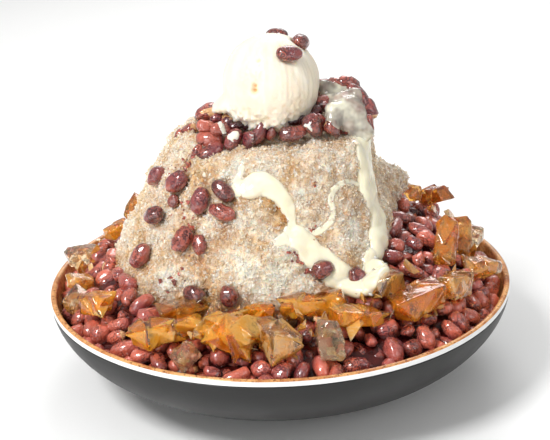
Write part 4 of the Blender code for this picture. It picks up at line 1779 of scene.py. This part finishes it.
# Milk run over the beans behind the scoop
MILK_ON_CROWN = (
    (
        (22, 2, 132, 3.4), (26, 0, 130, 4.6), (30, -5, 129, 5.8), (33, -10, 127, 6.4),
        (34, -15, 124, 6.0), (36.5, -18, 120, 4.8), (39, -16, 115, 4.2), (40, -13, 111, 4.2),
    ),
    ((30, -6, 129, 4.0), (27, -14, 126, 4.8), (25, -19, 122, 3.8)),
    ((-23.4, -13, 125.2, 1.1), (-22.6, -16, 122.5, 1.3), (-21.4, -19, 118.9, 1.1)),
)

# Melted ice cream under the scoop
DRIPS = (
    (
        (-20.2, -23, 119.4, 1.6), (-18.4, -24, 120.2, 2.0), (-16.6, -24, 119.8, 1.8),
        (-15.4, -24, 118.0, 1.3),
    ),
    ((-18.0, -24, 118.0, 1.0), (-17.2, -24, 116.6, 0.7)),
    ((-9.2, -24, 118.4, 0.9), (-8.8, -24, 115.0, 0.8)),
    ((12.5, -24, 122.6, 1.0), (14.4, -24, 122.0, 1.1), (15.8, -25, 120, 0.8)),
    ((-23.4, -16, 125.2, 1.0), (-22.8, -17, 122.5, 1.2), (-21.6, -19, 118.9, 1.0)),
)


def stream_points(tree, stream):
    """Points along a stream on the surface, about a millimetre apart, with their half-widths."""
    rows = []
    for row in stream:
        if len(row) == 3:
            place = flank_point(tree, row[0], row[1] * MM)
        else:
            place = tree.find_nearest(Vector(row[:3]) * MM)[0]
        rows.append((*place, row[-1] * MM))
    rows = np.array(rows)
    result = []
    for first, second in zip(rows[:-1], rows[1:], strict=True):
        pieces = max(int(np.linalg.norm(second[:3] - first[:3]) / (1.0 * MM)), 1)
        for i in range(pieces):
            result.append(first + (second - first) * i / pieces)
    result.append(rows[-1])
    return np.array(result)


def share_of_width(points, rows):
    """Distance of each point from the rows as a share of their half-width, a little wavy, and that
    half-width."""
    share = np.full(len(points), 9.0)
    wide = np.zeros(len(points))
    for row in rows:
        distance = np.linalg.norm(points - row[:3], axis=1) / row[3]
        nearer = distance < share
        share = np.where(nearer, distance, share)
        wide = np.where(nearer, row[3], wide)
    for i in np.nonzero(share < 2)[0]:
        share[i] += RAGGED * noise.noise(Vector(points[i]) / (6 * MM))
    return share, wide


def pour(name, ground, streams, thickness, material):
    """A poured layer: the part of a ground surface near the streams, raised in the middle and sunk
    at its edge."""
    tree = tree_of(ground)
    rows = np.vstack([stream_points(tree, stream) for stream in streams])
    layer = duplicate(ground, name)
    share = share_of_width(points_of(layer), rows)[0]
    work = bmesh.new()
    work.from_mesh(layer.data)
    work.verts.ensure_lookup_table()
    far = [work.verts[i] for i in np.nonzero(share > 1.4)[0]]
    bmesh.ops.delete(work, geom=far, context="VERTS")
    work.to_mesh(layer.data)
    work.free()
    apply_modifier(layer, "SUBSURF", levels=1, render_levels=1)
    points = points_of(layer)
    share, wide = share_of_width(points, rows)
    full = np.minimum(wide / (4.2 * MM), 1.2) * thickness
    rise = np.maximum(1 - np.maximum(share, 0) ** 3, 0) ** 0.5 * full
    sink = np.maximum(share - 0.96, 0) * 6 * MM
    set_points(layer, points + normals_of(layer) * (rise - sink)[:, None])
    smooth(layer, 2)
    apply_modifier(layer, "SOLIDIFY", thickness=1.2 * MM, offset=-1)
    shade_smooth(layer)
    finish_piece(layer, material, "ice_cream")


def joined_ground(*pieces):
    """A copy of several pieces as one surface."""
    copies = [duplicate(piece, "ground") for piece in pieces]
    activate(copies[0])
    for copy in copies[1:]:
        copy.select_set(True)
    bpy.ops.object.join()
    return copies[0]


# The pool where the streams end, and the bed it fills between the chunks
MILK_POOL = (
    (
        (22, -50, 63, 4.5), (27, -51, 61.5, 4.6), (32, -53, 60, 4.8), (36, -55, 60.5, 4.8),
        (39.5, -53, 62.5, 5.2), (41, -49, 64, 5.5), (41, -43, 66, 5.5), (41, -40, 67, 5.0),
    ),
    ((28, -52, 59.5, 4.2), (33, -55, 59.5, 4.2), (39.5, -57, 62, 3.8)),
)

POOL_BED = (
    (22, -44, 63), (22, -51, 59.5), (27, -53, 56), (33, -58, 56), (38, -61.5, 57.5),
    (43, -62, 60), (47, -57, 62), (47, -50, 63.5), (45, -43, 64.5), (41, -38, 66),
    (34, -42, 61.5), (32, -47, 57), (44, -52, 57),
)


def swell(piece, depth):
    """Moves the surface out along its normals, or in where the depth is negative."""
    set_points(piece, points_of(piece) + normals_of(piece) * depth)


def make_milk():
    """The milk poured down the front and over the crown, and the melted ice cream."""
    look = settings().milk
    milk, thin = milk_material(look), thin_milk_material()
    mound = bpy.data.objects["ice_mound"]
    ground = duplicate(mound, "ground")
    smooth(ground, 24)
    pour("milk_streams", ground, MILK_STREAMS, look.thickness, milk)
    pour("thin_milk_on_ice", ground, THIN_STREAMS, 1.5 * MM, milk)
    bed = mesh_from("pool_bed", *hull_of(np.array(POOL_BED) * MM))
    chunks = [bpy.data.objects[f"jelly_chunk_{number}"] for number in POOL_CHUNKS]
    filled = joined_ground(ground, bed, *chunks)
    remove(ground)
    remove(bed)
    remesh(filled, 0.9 * MM)
    smooth(filled, 12)
    pour("milk_pool", filled, MILK_POOL, look.thickness, milk)
    remove(filled)
    ground = joined_ground(mound, bpy.data.objects["crown_beans"])
    cut_below(ground, 100 * MM)
    remesh(ground, 0.8 * MM)
    pour("melted_drips", ground, DRIPS, 1.1 * MM, cream_material(settings().cream))
    # The milk bridges the gaps between the beans: the ground is swollen, smoothed and drawn back
    swell(ground, 2.4 * MM)
    remesh(ground, 0.8 * MM)
    smooth(ground, 14)
    swell(ground, -2.4 * MM)
    smooth(ground, 6)
    pour("milk_on_crown", ground, MILK_ON_CROWN, 0.9 * MM, thin)
    remove(ground)


# ---------------------------------------------------------------- stage

# Area lights: name, place in metres, width in metres and power in watts
LIGHTS = (
    ("key", (-0.5, -0.5, 0.85), 0.28, 8.8),
    ("fill", (0.8, -0.55, 0.5), 0.5, 1.3),
    ("front", (-0.45, -0.95, 0.35), 0.45, 1.8),
    ("back", (0.15, 0.8, 0.8), 0.6, 5.0),
)
LIGHTS_AIM = Vector((0, 0, 70 * MM))
WORLD_STRENGTH = 0.45
CAMERA_TARGET = Vector((0, 0, 72 * MM))
CAMERA_AIM = CAMERA_TARGET - Vector((1.1, 0.6, 1.4)) * MM
CAMERA_ROLL = math.radians(-2.31)
CAMERA_LENS = 86.4


def make_stage():
    """The floor, the lights, the surroundings and the camera."""
    look = settings().stage
    bpy.ops.mesh.primitive_plane_add(size=6, location=(0, 0, 0))
    floor = bpy.context.object
    floor.name = "floor"
    floor.data.materials.append(floor_material(look))
    for name, place, size, power in LIGHTS:
        bpy.ops.object.light_add(type="AREA", location=place)
        light = bpy.context.object
        light.name = name
        light.data.size = size
        light.data.energy = power
        aim = LIGHTS_AIM - Vector(place)
        light.rotation_euler = aim.to_track_quat("-Z", "Y").to_euler()
    world = bpy.data.worlds.new("studio")
    world.use_nodes = True
    background = world.node_tree.nodes["Background"]
    feed(background, {"Color": linear("#FFFFFF"), "Strength": WORLD_STRENGTH})
    bpy.context.scene.world = world
    back = Vector((0, -math.cos(look.elevation), math.sin(look.elevation)))
    bpy.ops.object.camera_add(location=CAMERA_TARGET + back * look.distance)
    camera = bpy.context.object
    camera.data.lens = CAMERA_LENS
    camera.data.sensor_width = 36
    camera.data.clip_end = 20
    turn = (CAMERA_AIM - camera.location).to_track_quat("-Z", "Y").to_matrix()
    camera.rotation_euler = (turn @ Matrix.Rotation(CAMERA_ROLL, 3, "Z")).to_euler()
    bpy.context.scene.camera = camera
    bpy.context.scene.view_settings.view_transform = "Standard"


class BINGSU_OT_bowl(bpy.types.Operator):
    """Turn the stoneware bowl"""

    bl_idname = "bingsu.bowl"
    bl_label = "Bowl"

    def execute(self, context):
        make_bowl()
        return {"FINISHED"}


class BINGSU_OT_ice(bpy.types.Operator):
    """Shape the mound of shaved ice"""

    bl_idname = "bingsu.ice"
    bl_label = "Shaved ice"

    def execute(self, context):
        make_ice()
        return {"FINISHED"}


class BINGSU_OT_grains(bpy.types.Operator):
    """Scatter the loose grains of ice on the mound"""

    bl_idname = "bingsu.grains"
    bl_label = "Ice grains"

    def execute(self, context):
        make_grains()
        return {"FINISHED"}


class BINGSU_OT_heap(bpy.types.Operator):
    """Pile the beans in the bowl"""

    bl_idname = "bingsu.heap"
    bl_label = "Bean heap"

    def execute(self, context):
        make_heap()
        return {"FINISHED"}


class BINGSU_OT_crown(bpy.types.Operator):
    """Pile the beans round the scoop"""

    bl_idname = "bingsu.crown"
    bl_label = "Bean crown"

    def execute(self, context):
        make_crown()
        return {"FINISHED"}


class BINGSU_OT_single_beans(bpy.types.Operator):
    """Shape the beans that lie alone, and the crushed bits"""

    bl_idname = "bingsu.single_beans"
    bl_label = "Single beans"

    def execute(self, context):
        make_single_beans()
        make_crumbs()
        return {"FINISHED"}


class BINGSU_OT_jelly(bpy.types.Operator):
    """Tear the chunks and shards of jelly"""

    bl_idname = "bingsu.jelly"
    bl_label = "Jelly"

    def execute(self, context):
        make_jelly()
        make_shards()
        return {"FINISHED"}


class BINGSU_OT_ice_cream(bpy.types.Operator):
    """Shape the scoop of ice cream"""

    bl_idname = "bingsu.ice_cream"
    bl_label = "Ice cream"

    def execute(self, context):
        make_ice_cream()
        return {"FINISHED"}


class BINGSU_OT_milk(bpy.types.Operator):
    """Pour the condensed milk"""

    bl_idname = "bingsu.milk"
    bl_label = "Condensed milk"

    def execute(self, context):
        make_milk()
        return {"FINISHED"}


class BINGSU_OT_stage(bpy.types.Operator):
    """Add the floor, the lights and the camera"""

    bl_idname = "bingsu.stage"
    bl_label = "Stage"

    def execute(self, context):
        make_stage()
        return {"FINISHED"}


OPERATORS = (
    BINGSU_OT_bowl,
    BINGSU_OT_ice,
    BINGSU_OT_grains,
    BINGSU_OT_heap,
    BINGSU_OT_crown,
    BINGSU_OT_single_beans,
    BINGSU_OT_jelly,
    BINGSU_OT_ice_cream,
    BINGSU_OT_milk,
    BINGSU_OT_stage,
)


class BINGSU_PT_panel(bpy.types.Panel):
    """Lists the operators in the sidebar"""

    bl_label = "Bingsu"
    bl_idname = "BINGSU_PT_panel"
    bl_space_type = "VIEW_3D"
    bl_region_type = "UI"
    bl_category = "Bingsu"

    def draw(self, context):
        for made in OPERATORS:
            self.layout.operator(made.bl_idname)


CLASSES = (
    BowlSettings,
    IceSettings,
    BeanSettings,
    JellySettings,
    CreamSettings,
    MilkSettings,
    StageSettings,
    BingsuSettings,
    *OPERATORS,
    BINGSU_PT_panel,
)


def register():
    for made in CLASSES:
        bpy.utils.register_class(made)
    bpy.types.Scene.bingsu = PointerProperty(type=BingsuSettings)


def unregister():
    del bpy.types.Scene.bingsu
    for made in reversed(CLASSES):
        bpy.utils.unregister_class(made)


def main():
    register()
    noise.seed_set(SEED)
    for made in OPERATORS:
        name = made.bl_idname.split(".")[1]
        getattr(bpy.ops.bingsu, name)()


if __name__ == "__main__":
    main()
